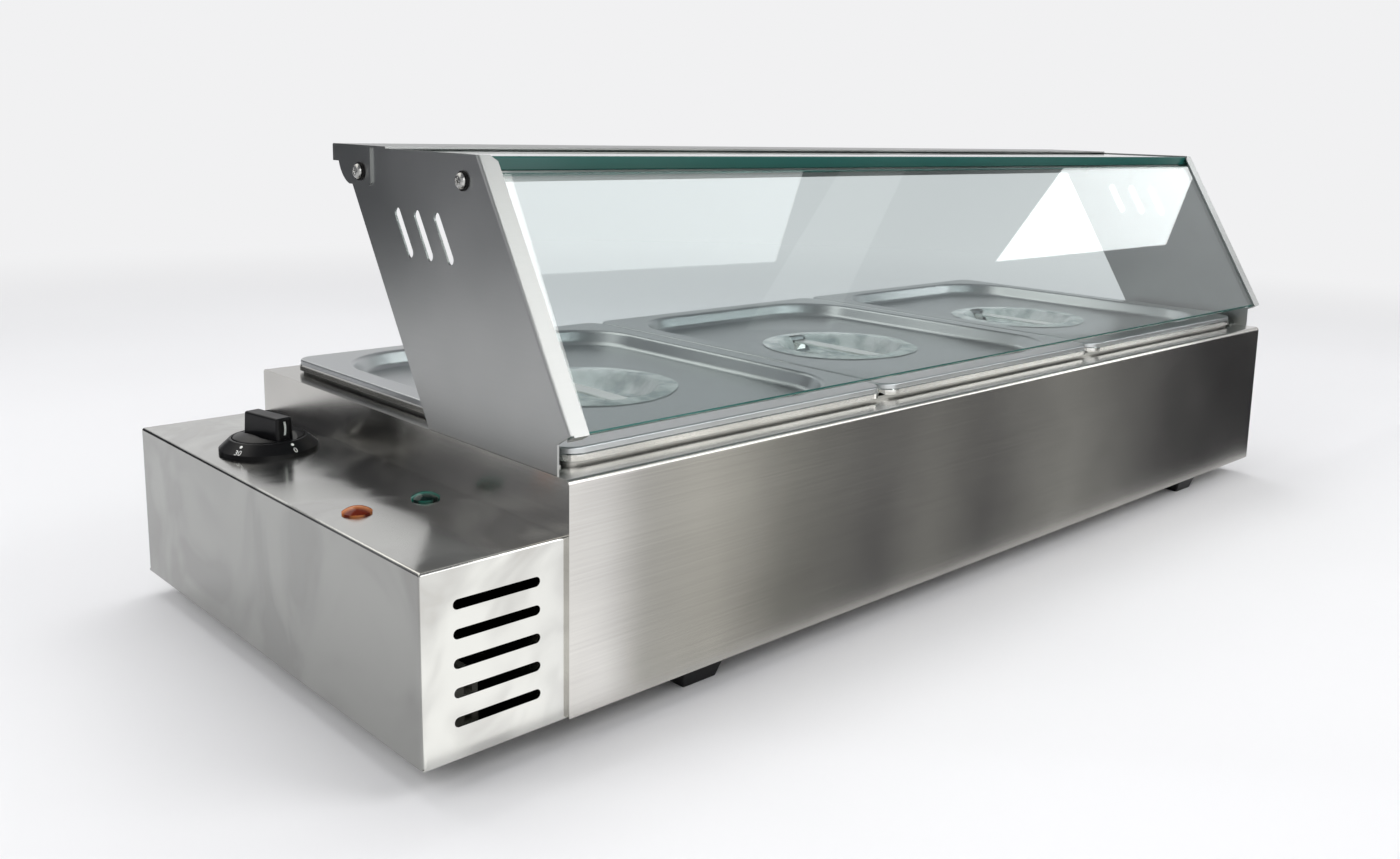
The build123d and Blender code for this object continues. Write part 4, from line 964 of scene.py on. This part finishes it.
def screw_tree(steel):
    """Domed heads with a cross recess and a shank, one on each point, facing its outward side."""
    tree = bpy.data.node_groups.new("domed_screws", "GeometryNodeTree")
    tree.interface.new_socket("Geometry", in_out="INPUT", socket_type="NodeSocketGeometry")
    for name in ("Radius", "Rise", "Recess Reach", "Recess Width", "Recess Depth", "Shank", "Length"):
        tree.interface.new_socket(name, in_out="INPUT", socket_type="NodeSocketFloat")
    tree.interface.new_socket("Seed", in_out="INPUT", socket_type="NodeSocketInt")
    tree.interface.new_socket("Geometry", in_out="OUTPUT", socket_type="NodeSocketGeometry")
    given = add(tree, "NodeGroupInput")
    grid = add(
        tree, "GeometryNodeMeshGrid", {"Size X": 2.0, "Size Y": 2.0, "Vertices X": 49, "Vertices Y": 49}
    )
    # The square grid is drawn in to a disc: each square ring becomes a circle
    spot = add(tree, "GeometryNodeInputPosition").outputs[0]
    size = add(tree, "ShaderNodeVectorMath", {0: spot}, operation="ABSOLUTE")
    sides = add(tree, "ShaderNodeSeparateXYZ", {0: size.outputs[0]})
    ring = add(tree, "ShaderNodeMath", {0: sides.outputs[0], 1: sides.outputs[1]}, operation="MAXIMUM")
    way = add(tree, "ShaderNodeVectorMath", {0: spot}, operation="NORMALIZE")
    disc = add(
        tree, "ShaderNodeVectorMath", {0: way.outputs[0], "Scale": ring.outputs[0]}, operation="SCALE"
    )
    flat = add(
        tree,
        "ShaderNodeVectorMath",
        {0: disc.outputs[0], "Scale": given.outputs["Radius"]},
        operation="SCALE",
    )
    fall = add(tree, "ShaderNodeMath", {0: ring.outputs[0], 1: 3.2}, operation="POWER")
    left = add(tree, "ShaderNodeMath", {0: 1.0, 1: fall.outputs[0]}, operation="SUBTRACT")
    dome = add(tree, "ShaderNodeMath", {0: left.outputs[0]}, operation="SQRT")
    crown = add(
        tree, "ShaderNodeMath", {0: dome.outputs[0], 1: given.outputs["Rise"]}, operation="MULTIPLY"
    )
    # Inside an arm of the cross, the smaller of x and y is under half its width
    reach = add(tree, "ShaderNodeVectorMath", {0: flat.outputs[0]}, operation="ABSOLUTE")
    arms = add(tree, "ShaderNodeSeparateXYZ", {0: reach.outputs[0]})
    thin = add(tree, "ShaderNodeMath", {0: arms.outputs[0], 1: arms.outputs[1]}, operation="MINIMUM")
    long = add(tree, "ShaderNodeMath", {0: arms.outputs[0], 1: arms.outputs[1]}, operation="MAXIMUM")
    beside = add(
        tree, "ShaderNodeMath", {0: given.outputs["Recess Width"], 1: 0.64}, operation="MULTIPLY"
    )
    within = add(
        tree, "ShaderNodeMath", {0: given.outputs["Recess Width"], 1: 0.36}, operation="MULTIPLY"
    )
    in_arm = add(
        tree,
        "ShaderNodeMapRange",
        {"Value": thin.outputs[0], "From Min": beside.outputs[0], "From Max": within.outputs[0]},
    )
    short = add(
        tree, "ShaderNodeMath", {0: given.outputs["Recess Reach"], 1: 0.75}, operation="MULTIPLY"
    )
    in_reach = add(
        tree,
        "ShaderNodeMapRange",
        {
            "Value": long.outputs[0],
            "From Min": given.outputs["Recess Reach"],
            "From Max": short.outputs[0],
        },
    )
    share = add(
        tree, "ShaderNodeMath", {0: in_arm.outputs[0], 1: in_reach.outputs[0]}, operation="MULTIPLY"
    )
    sunk = add(
        tree,
        "ShaderNodeMath",
        {0: share.outputs[0], 1: given.outputs["Recess Depth"]},
        operation="MULTIPLY",
    )
    height = add(
        tree, "ShaderNodeMath", {0: crown.outputs[0], 1: sunk.outputs[0]}, operation="SUBTRACT"
    )
    plan = add(tree, "ShaderNodeSeparateXYZ", {0: flat.outputs[0]})
    raised = add(
        tree, "ShaderNodeCombineXYZ", {0: plan.outputs[0], 1: plan.outputs[1], 2: height.outputs[0]}
    )
    head = add(
        tree, "GeometryNodeSetPosition", {"Geometry": grid.outputs["Mesh"], "Position": raised.outputs[0]}
    )
    seat = add(
        tree, "GeometryNodeSetPosition", {"Geometry": grid.outputs["Mesh"], "Position": flat.outputs[0]}
    )
    under = add(tree, "GeometryNodeFlipFaces", {"Mesh": seat.outputs[0]})
    shank = add(
        tree,
        "GeometryNodeMeshCylinder",
        {"Vertices": 16, "Radius": given.outputs["Shank"], "Depth": given.outputs["Length"]},
    )
    half = add(tree, "ShaderNodeMath", {0: given.outputs["Length"], 1: -0.5}, operation="MULTIPLY")
    down = add(tree, "ShaderNodeCombineXYZ", {2: half.outputs[0]})
    lowered = add(
        tree,
        "GeometryNodeTransform",
        {"Geometry": shank.outputs["Mesh"], "Translation": down.outputs[0]},
    )
    screw = add(tree, "GeometryNodeJoinGeometry")
    for part in (head, under, lowered):
        tree.links.new(part.outputs[0], screw.inputs[0])
    closed = add(
        tree, "GeometryNodeMergeByDistance", {"Geometry": screw.outputs[0], "Distance": 0.01 * MM}
    )
    outward = add(
        tree, "GeometryNodeInputNamedAttribute", {"Name": "outward"}, data_type="FLOAT_VECTOR"
    )
    turn = add(tree, "FunctionNodeAlignRotationToVector", {"Vector": outward.outputs[0]}, axis="Z")
    placed = add(
        tree,
        "GeometryNodeInstanceOnPoints",
        {
            "Points": given.outputs["Geometry"],
            "Instance": closed.outputs[0],
            "Rotation": turn.outputs[0],
        },
    )
    # Each screw stopped at its own angle when it was driven home
    driven = add(
        tree,
        "FunctionNodeRandomValue",
        {"Min": 0.0, "Max": math.pi / 2, "Seed": given.outputs["Seed"]},
        data_type="FLOAT",
    )
    spin = add(tree, "ShaderNodeCombineXYZ", {2: driven.outputs["Value"]})
    spun = add(
        tree, "GeometryNodeRotateInstances", {"Instances": placed.outputs[0], "Rotation": spin.outputs[0]}
    )
    real = add(tree, "GeometryNodeRealizeInstances", {"Geometry": spun.outputs[0]})
    painted = add(tree, "GeometryNodeSetMaterial", {"Geometry": real.outputs[0], "Material": steel})
    add(tree, "NodeGroupOutput", {"Geometry": painted.outputs[0]})
    return tree


class WARMER_OT_screws(bpy.types.Operator):
    """Cross-recessed guard screws"""

    bl_idname = "warmer.screws"
    bl_label = "Guard screws"

    def execute(self, context):
        seats = screw_seats()
        # Bright stainless, cold-headed: small sharp lights on the dome and in the cross
        steel = plated_steel("bright_screw_steel", "#a3a3a1", 0.25)
        mesh = bpy.data.meshes.new("screw_points")
        mesh.from_pydata([seat for seat, _, _, _ in seats], [], [])
        outward = mesh.attributes.new("outward", "FLOAT_VECTOR", "POINT")
        for n, (_, side, _, _) in enumerate(seats):
            outward.data[n].vector = side
        holder = bpy.data.objects.new("screw_maker", mesh)
        context.scene.collection.objects.link(holder)
        tree = screw_tree(steel)
        modifier = holder.modifiers.new("screws", "NODES")
        modifier.node_group = tree
        _, _, radius, rise = seats[0]
        screws = context.scene.warmer_screws
        sizes = {
            "Radius": radius,
            "Rise": rise,
            "Recess Reach": screws.recess_reach,
            "Recess Width": screws.recess_width,
            "Recess Depth": screws.recess_depth,
            "Shank": screws.shank_radius,
            "Length": screws.shank_length,
            "Seed": SCREW_SEED,
        }
        for socket in tree.interface.items_tree:
            if socket.in_out == "INPUT" and socket.name in sizes:
                modifier[socket.identifier] = sizes[socket.name]
        made = bpy.data.meshes.new_from_object(
            holder.evaluated_get(context.evaluated_depsgraph_get())
        )
        bpy.data.objects.remove(holder)
        piece = finish_piece("guard_screw_heads", made, steel, "warmer")
        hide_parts("guard_screws")
        return {"FINISHED"}


class WARMER_OT_hardware(bpy.types.Operator):
    """Screws, nuts, washers, feet and the parts inside"""

    bl_idname = "warmer.hardware"
    bl_label = "Hardware"

    def execute(self, context):
        # Turned stainless keeps a tight highlight
        screws = plated_steel("stainless_screw", "#c2c1bd", 0.22)
        dress(("guard_screws", "plate_screws", "dial_screws", "thermostat_shaft"), screws)
        # Zinc plating is duller and a little warm
        zinc = plated_steel("zinc_plated_steel", "#b9b9b2", 0.32)
        dress(("guard_nuts", "foot_screws", "foot_nuts", "thermostat_body", "bulb_clip"), zinc)
        # Nickel over brass: yellowish and bright
        dress(("element_glands",), plated_steel("nickel_plated_brass", "#c4b98f", 0.28))
        # Nickel alloy sheath, browned by heat
        dress(("heating_element",), plated_steel("heat_tinted_sheath", "#6d655c", 0.42))
        # Drawn copper, bare and a little dull
        dress(("thermostat_bulb",), plated_steel("drawn_copper", "#b87455", 0.3))
        # Moulded nylon: matt, black for the washers and ivory for the terminals
        dress(("guard_washers",), moulded_plastic("nylon_washer", "#141414", 0.5))
        dress(("terminal_block",), moulded_plastic("natural_nylon", "#dcd9cf", 0.45))
        # Moulded rubber: nearly black, with a slight sheen
        rubber = moulded_plastic("moulded_rubber", "#101012", 0.38)
        feet = ("foot_front_left", "foot_rear_left", "foot_front_right", "foot_rear_right")
        dress(feet, rubber)
        return {"FINISHED"}


class WARMER_OT_studio(bpy.types.Operator):
    """Pale floor, soft lamps, world and the camera at the photograph's angle"""

    bl_idname = "warmer.studio"
    bl_label = "Studio"

    def execute(self, context):
        scene = context.scene
        scene.view_settings.view_transform = "Standard"
        studio = scene.warmer_studio
        self.floor(studio)
        self.world(scene, studio)
        self.front_card(studio)
        self.pane_cards(studio)
        self.rim_strip()
        self.left_card()
        self.rear_flag()
        self.lamp("front_softbox", (0.9, -1.6, 1.6), (0.1, 0.0, 0.1), (1.2, 1.0), studio.front_power)
        self.lamp("left_softbox", (-2.0, 0.2, 1.5), (0.0, 0.0, 0.1), (1.4, 1.4), studio.left_power)
        self.lamp(
            "overhead_softbox", (0.2, 0.9, 2.4), (0.0, 0.0, 0.1), (2.6, 1.6), studio.overhead_power
        )
        self.camera(scene, studio)
        return {"FINISHED"}

    def background_rays(self, tree):
        """1 for rays that the eye sees directly, through glass or in a shiny surface."""
        paths = add(tree, "ShaderNodeLightPath")
        seen = paths.outputs["Is Camera Ray"]
        for kind in ("Is Transmission Ray", "Is Glossy Ray"):
            seen = add(
                tree, "ShaderNodeMath", {0: seen, 1: paths.outputs[kind]}, operation="MAXIMUM"
            ).outputs[0]
        return seen

    def floor(self, studio):
        """Pale paper that fades into the backdrop's colour away from the object."""
        material, tree, shader, output = new_material("pale_paper_floor")
        place = add(tree, "ShaderNodeTexCoord").outputs["Object"]
        fibre = add(tree, "ShaderNodeTexNoise", {"Vector": place, "Scale": 1.2})
        pale = add(
            tree,
            "ShaderNodeValToRGB",
            {"Fac": fibre.outputs["Fac"]},
            stops=((0.3, "#e9e9ea"), (0.7, "#eeeeef")),
        )
        tree.links.new(pale.outputs["Color"], shader.inputs["Base Color"])
        shader.inputs["Roughness"].default_value = 0.8
        distance = add(tree, "ShaderNodeVectorMath", {0: place}, operation="LENGTH")
        far = add(
            tree,
            "ShaderNodeMapRange",
            {"Value": distance.outputs["Value"], "From Min": 0.9, "From Max": 2.4},
            interpolation_type="SMOOTHSTEP",
        )
        share = add(
            tree,
            "ShaderNodeMath",
            {0: far.outputs["Result"], 1: self.background_rays(tree)},
            operation="MULTIPLY",
        )
        haze = add(tree, "ShaderNodeEmission", {"Color": linear(studio.background)})
        mixed = add(
            tree,
            "ShaderNodeMixShader",
            {0: share.outputs[0], 1: shader.outputs["BSDF"], 2: haze.outputs[0]},
        )
        tree.links.new(mixed.outputs[0], output.inputs["Surface"])
        reach = 8.0
        corners = [(-reach, -reach, 0), (reach, -reach, 0), (reach, reach, 0), (-reach, reach, 0)]
        self.prop("floor", corners, material)

    def prop(self, name, corners, material, faces=((0, 1, 2, 3),)):
        """A sheet that belongs to the studio, four-cornered unless its faces are given."""
        mesh = bpy.data.meshes.new(name)
        mesh.from_pydata(corners, [], faces)
        mesh.materials.append(material)
        sheet = bpy.data.objects.new(name, mesh)
        bpy.context.scene.collection.objects.link(sheet)
        return sheet

    def only_in_reflections(self, card):
        """Hides a card from the eye and from matt surfaces."""
        card.visible_camera = False
        card.visible_diffuse = False
        card.visible_shadow = False

    def glow(self, name, colour, strength):
        """Material of a card that glows only for rays that a surface has mirrored."""
        material, tree, shader, output = new_material(name)
        tree.nodes.remove(shader)
        light = add(tree, "ShaderNodeEmission", {"Color": colour, "Strength": strength})
        clear = add(tree, "ShaderNodeBsdfTransparent")
        paths = add(tree, "ShaderNodeLightPath")
        mirrored = add(
            tree,
            "ShaderNodeMath",
            {0: paths.outputs["Glossy Depth"], 1: 0.5},
            operation="GREATER_THAN",
        )
        mixed = add(
            tree,
            "ShaderNodeMixShader",
            {0: mirrored.outputs[0], 1: clear.outputs[0], 2: light.outputs[0]},
        )
        tree.links.new(mixed.outputs[0], output.inputs["Surface"])
        return material, tree, light

    def front_card(self, studio):
        """White to black card, curved up from the table in front of the body."""
        material, tree, light = self.glow("graded_card", linear("#ffffff"), 1.5)
        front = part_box("body_shell")[0].y
        # Its tones fan out from the eye's mirror image in the body's front
        centre = (studio.eye[0], 2 * front - studio.eye[1], 0.0)
        place = add(tree, "ShaderNodeTexCoord").outputs["Object"]
        arm = add(tree, "ShaderNodeVectorMath", {0: place, 1: centre}, operation="SUBTRACT")
        part = add(tree, "ShaderNodeSeparateXYZ", {0: arm.outputs[0]})
        ahead = add(tree, "ShaderNodeMath", {0: part.outputs["Y"], 1: -1.0}, operation="MULTIPLY")
        fan = add(
            tree, "ShaderNodeMath", {0: part.outputs["X"], 1: ahead.outputs[0]}, operation="ARCTAN2"
        )
        share = add(
            tree,
            "ShaderNodeMapRange",
            {"Value": fan.outputs[0], "From Min": math.radians(25), "From Max": math.radians(75)},
        )
        tones = (
            (0.19, "#ffffff"),
            (0.255, "#ececef"),
            (0.295, "#a8a8a5"),
            (0.36, "#b2b1ac"),
            (0.43, "#7a7a77"),
            (0.52, "#585859"),
            (0.57, "#7e7e7c"),
            (0.62, "#525253"),
            (0.69, "#80807e"),
            (0.76, "#484849"),
            (0.84, "#242426"),
        )
        graded = add(
            tree, "ShaderNodeValToRGB", {"Fac": share.outputs["Result"]}, stops=tones
        )
        tree.links.new(graded.outputs["Color"], light.inputs["Color"])
        left, right = -1.2, 2.6
        bend = ((front - 0.03, 0.001), (-1.0, 0.001), (-1.15, 0.06), (-1.2, 0.2), (-1.2, 0.55))
        corners = [(x, y, z) for y, z in bend for x in (left, right)]
        faces = [(2 * n, 2 * n + 1, 2 * n + 3, 2 * n + 2) for n in range(len(bend) - 1)]
        self.only_in_reflections(self.prop("front_card", corners, material, faces))

    def pane_cards(self, studio):
        """Cards whose mirror images stand in the sloping pane and on the flange beside it."""
        bright, _, _ = self.glow("softbox_card", linear("#f8fbfb"), 2.8)
        brightest, _, _ = self.glow("near_softbox_card", linear("#f8fbfb"), 5.0)
        flange_light, _, _ = self.glow("flange_card", linear("#fffffc"), 7.0)
        faint, _, _ = self.glow("faint_softbox_card", linear("#f8fbfb"), 0.8)
        # Where each one's image stands in the photograph, in its pixels
        images = {
            "left_window": (((500, 172), (803, 170), (775, 262), (535, 275)), bright),
            "right_window": (((1065, 165), (1197, 165), (1165, 245), (995, 262)), brightest),
            "diagonal_window": (((840, 170), (905, 170), (830, 330), (745, 330)), faint),
            "flange_window": (((430, 130), (497, 130), (592, 445), (525, 450)), flange_light),
        }
        for name, (spots, material) in images.items():
            corners = [self.mirrored(studio, spot) for spot in spots]
            self.only_in_reflections(self.prop(name, corners, material))

    def mirrored(self, studio, spot):
        """Where the ray through a place in the photograph lands once the pane turns it back."""
        ahead, right, up = self.axes(studio)
        pixels = studio.lens / SENSOR_WIDTH * FRAME_WIDTH
        middle_u = (0.5 - studio.shift[0]) * FRAME_WIDTH
        middle_v = 0.5 * FRAME_HEIGHT + studio.shift[1] * FRAME_WIDTH
        ray = ahead + right * ((spot[0] - middle_u) / pixels) + up * ((middle_v - spot[1]) / pixels)
        ray.normalize()
        normal = slope_normal()
        low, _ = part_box("front_glass")
        eye = Vector(studio.eye)
        hit = eye + ray * ((low - eye).dot(normal) / ray.dot(normal))
        return hit + (ray - 2 * ray.dot(normal) * normal) * PANE_CARD_REACH

    def rim_strip(self):
        """Long low strip light that draws the bright line along the pans' rims."""
        white, _, _ = self.glow("strip_card", linear("#ffffff"), 3.8)
        corners = [(-1.2, -1.2, 0.58), (2.6, -1.2, 0.58), (2.6, -1.2, 1.1), (-1.2, -1.2, 1.1)]
        self.only_in_reflections(self.prop("rim_strip", corners, white))

    def left_card(self):
        """Raised card behind on the left that lights the folds' edges."""
        white, _, _ = self.glow("raised_card", linear("#fffdf8"), 2.0)
        left = [(-1.9, 0.4, 1.0), (0.1, 1.7, 1.0), (0.1, 1.2, 2.2), (-1.6, 0.2, 2.2)]
        self.only_in_reflections(self.prop("left_card", left, white))

    def rear_flag(self):
        """Flag behind on the left in two tones, which deepens the steel that faces it."""
        foot, top = 0.01, 0.75
        left, middle, right = (-2.6, 0.1), (-1.15, 1.228), (-0.4, 1.81)
        for name, start, end, tone in (
            ("rear_flag", left, middle, "#8c8d92"),
            ("dark_flag", middle, right, "#3e3f43"),
        ):
            material, _, _ = self.glow(name, linear(tone), 1.0)
            corners = [(*start, foot), (*end, foot), (*end, top), (*start, top)]
            self.only_in_reflections(self.prop(name, corners, material))

    def world(self, scene, studio):
        """Even light for matt surfaces, and a paler backdrop for the eye and for mirrors."""
        world = bpy.data.worlds.new("studio")
        scene.world = world
        world.use_nodes = True
        tree = world.node_tree
        tree.nodes.clear()
        direction = add(tree, "ShaderNodeTexCoord").outputs["Generated"]
        height = add(tree, "ShaderNodeSeparateXYZ", {0: direction}).outputs["Z"]
        lifted = add(
            tree, "ShaderNodeMapRange", {"Value": height, "From Min": -0.1, "From Max": 0.9}
        ).outputs["Result"]
        tone = add(
            tree,
            "ShaderNodeValToRGB",
            {"Fac": lifted},
            stops=((0.0, "#d2d2d2"), (0.2, "#c4c4c5"), (0.4, "#9c9da0"), (1.0, "#c0c0c2")),
        )
        backdrop = add(
            tree,
            "ShaderNodeValToRGB",
            {"Fac": lifted},
            stops=((0.45, studio.background), (0.6, "#aaabad"), (1.0, "#9a9b9e")),
        )
        seen = add(tree, "ShaderNodeBackground", {"Color": backdrop.outputs["Color"]})
        lit = add(tree, "ShaderNodeBackground", {"Color": tone.outputs["Color"]})
        mixed = add(
            tree,
            "ShaderNodeMixShader",
            {0: self.background_rays(tree), 1: lit.outputs[0], 2: seen.outputs[0]},
        )
        add(tree, "ShaderNodeOutputWorld", {"Surface": mixed.outputs[0]})

    def lamp(self, name, place, target, size, power):
        """A softbox that lights matt surfaces and leaves no image of itself in the metal."""
        light = bpy.data.lights.new(name, "AREA")
        light.shape = "RECTANGLE"
        light.size, light.size_y = size
        light.energy = power
        lamp = bpy.data.objects.new(name, light)
        lamp.location = place
        aim = Vector(target) - Vector(place)
        lamp.rotation_euler = aim.to_track_quat("-Z", "Y").to_euler()
        bpy.context.scene.collection.objects.link(lamp)
        lamp.visible_glossy = False
        lamp.visible_transmission = False

    def axes(self, studio):
        """Ahead, right and up of the camera."""
        heading, tilt, roll = studio.heading, studio.tilt, studio.roll
        ahead = Vector(
            (math.sin(heading) * math.cos(tilt), math.cos(heading) * math.cos(tilt), math.sin(tilt))
        )
        level = Vector((math.cos(heading), -math.sin(heading), 0))
        above = level.cross(ahead)
        right = level * math.cos(roll) + above * math.sin(roll)
        up = above * math.cos(roll) - level * math.sin(roll)
        return ahead, right, up

    def camera(self, scene, studio):
        """Camera at the photograph's viewing angle."""
        ahead, right, up = self.axes(studio)
        data = bpy.data.cameras.new("camera")
        data.lens = studio.lens
        data.sensor_width = SENSOR_WIDTH
        data.shift_x, data.shift_y = studio.shift
        camera = bpy.data.objects.new("camera", data)
        pose = Matrix((right, up, -ahead)).transposed().to_4x4()
        pose.translation = studio.eye
        camera.matrix_world = pose
        scene.collection.objects.link(camera)
        scene.camera = camera


class WARMER_PT_panel(bpy.types.Panel):
    """Steps of the food warmer, in order"""

    bl_idname = "WARMER_PT_panel"
    bl_label = "Food warmer"
    bl_space_type = "VIEW_3D"
    bl_region_type = "UI"
    bl_category = "Warmer"

    def draw(self, context):
        for operator in OPERATORS:
            self.layout.operator(operator.bl_idname)


GROUPS = (WarmerFinishes, WarmerFilm, WarmerDial, WarmerScrews, WarmerStudio)
OPERATORS = (
    WARMER_OT_casing,
    WARMER_OT_guard,
    WARMER_OT_panes,
    WARMER_OT_pans,
    WARMER_OT_films,
    WARMER_OT_dial,
    WARMER_OT_lamps,
    WARMER_OT_screws,
    WARMER_OT_hardware,
    WARMER_OT_studio,
)


def register():
    for kind in GROUPS + OPERATORS + (WARMER_PT_panel,):
        bpy.utils.register_class(kind)
    bpy.types.Scene.warmer_finishes = bpy.props.PointerProperty(type=WarmerFinishes)
    bpy.types.Scene.warmer_film = bpy.props.PointerProperty(type=WarmerFilm)
    bpy.types.Scene.warmer_dial = bpy.props.PointerProperty(type=WarmerDial)
    bpy.types.Scene.warmer_screws = bpy.props.PointerProperty(type=WarmerScrews)
    bpy.types.Scene.warmer_studio = bpy.props.PointerProperty(type=WarmerStudio)


def unregister():
    del bpy.types.Scene.warmer_studio
    del bpy.types.Scene.warmer_screws
    del bpy.types.Scene.warmer_dial
    del bpy.types.Scene.warmer_film
    del bpy.types.Scene.warmer_finishes
    for kind in reversed(GROUPS + OPERATORS + (WARMER_PT_panel,)):
        bpy.utils.unregister_class(kind)


def main():
    """Makes every piece in order."""
    register()
    for operator in OPERATORS:
        group, step = operator.bl_idname.split(".")
        getattr(getattr(bpy.ops, group), step)()


if __name__ == "__main__":
    main()
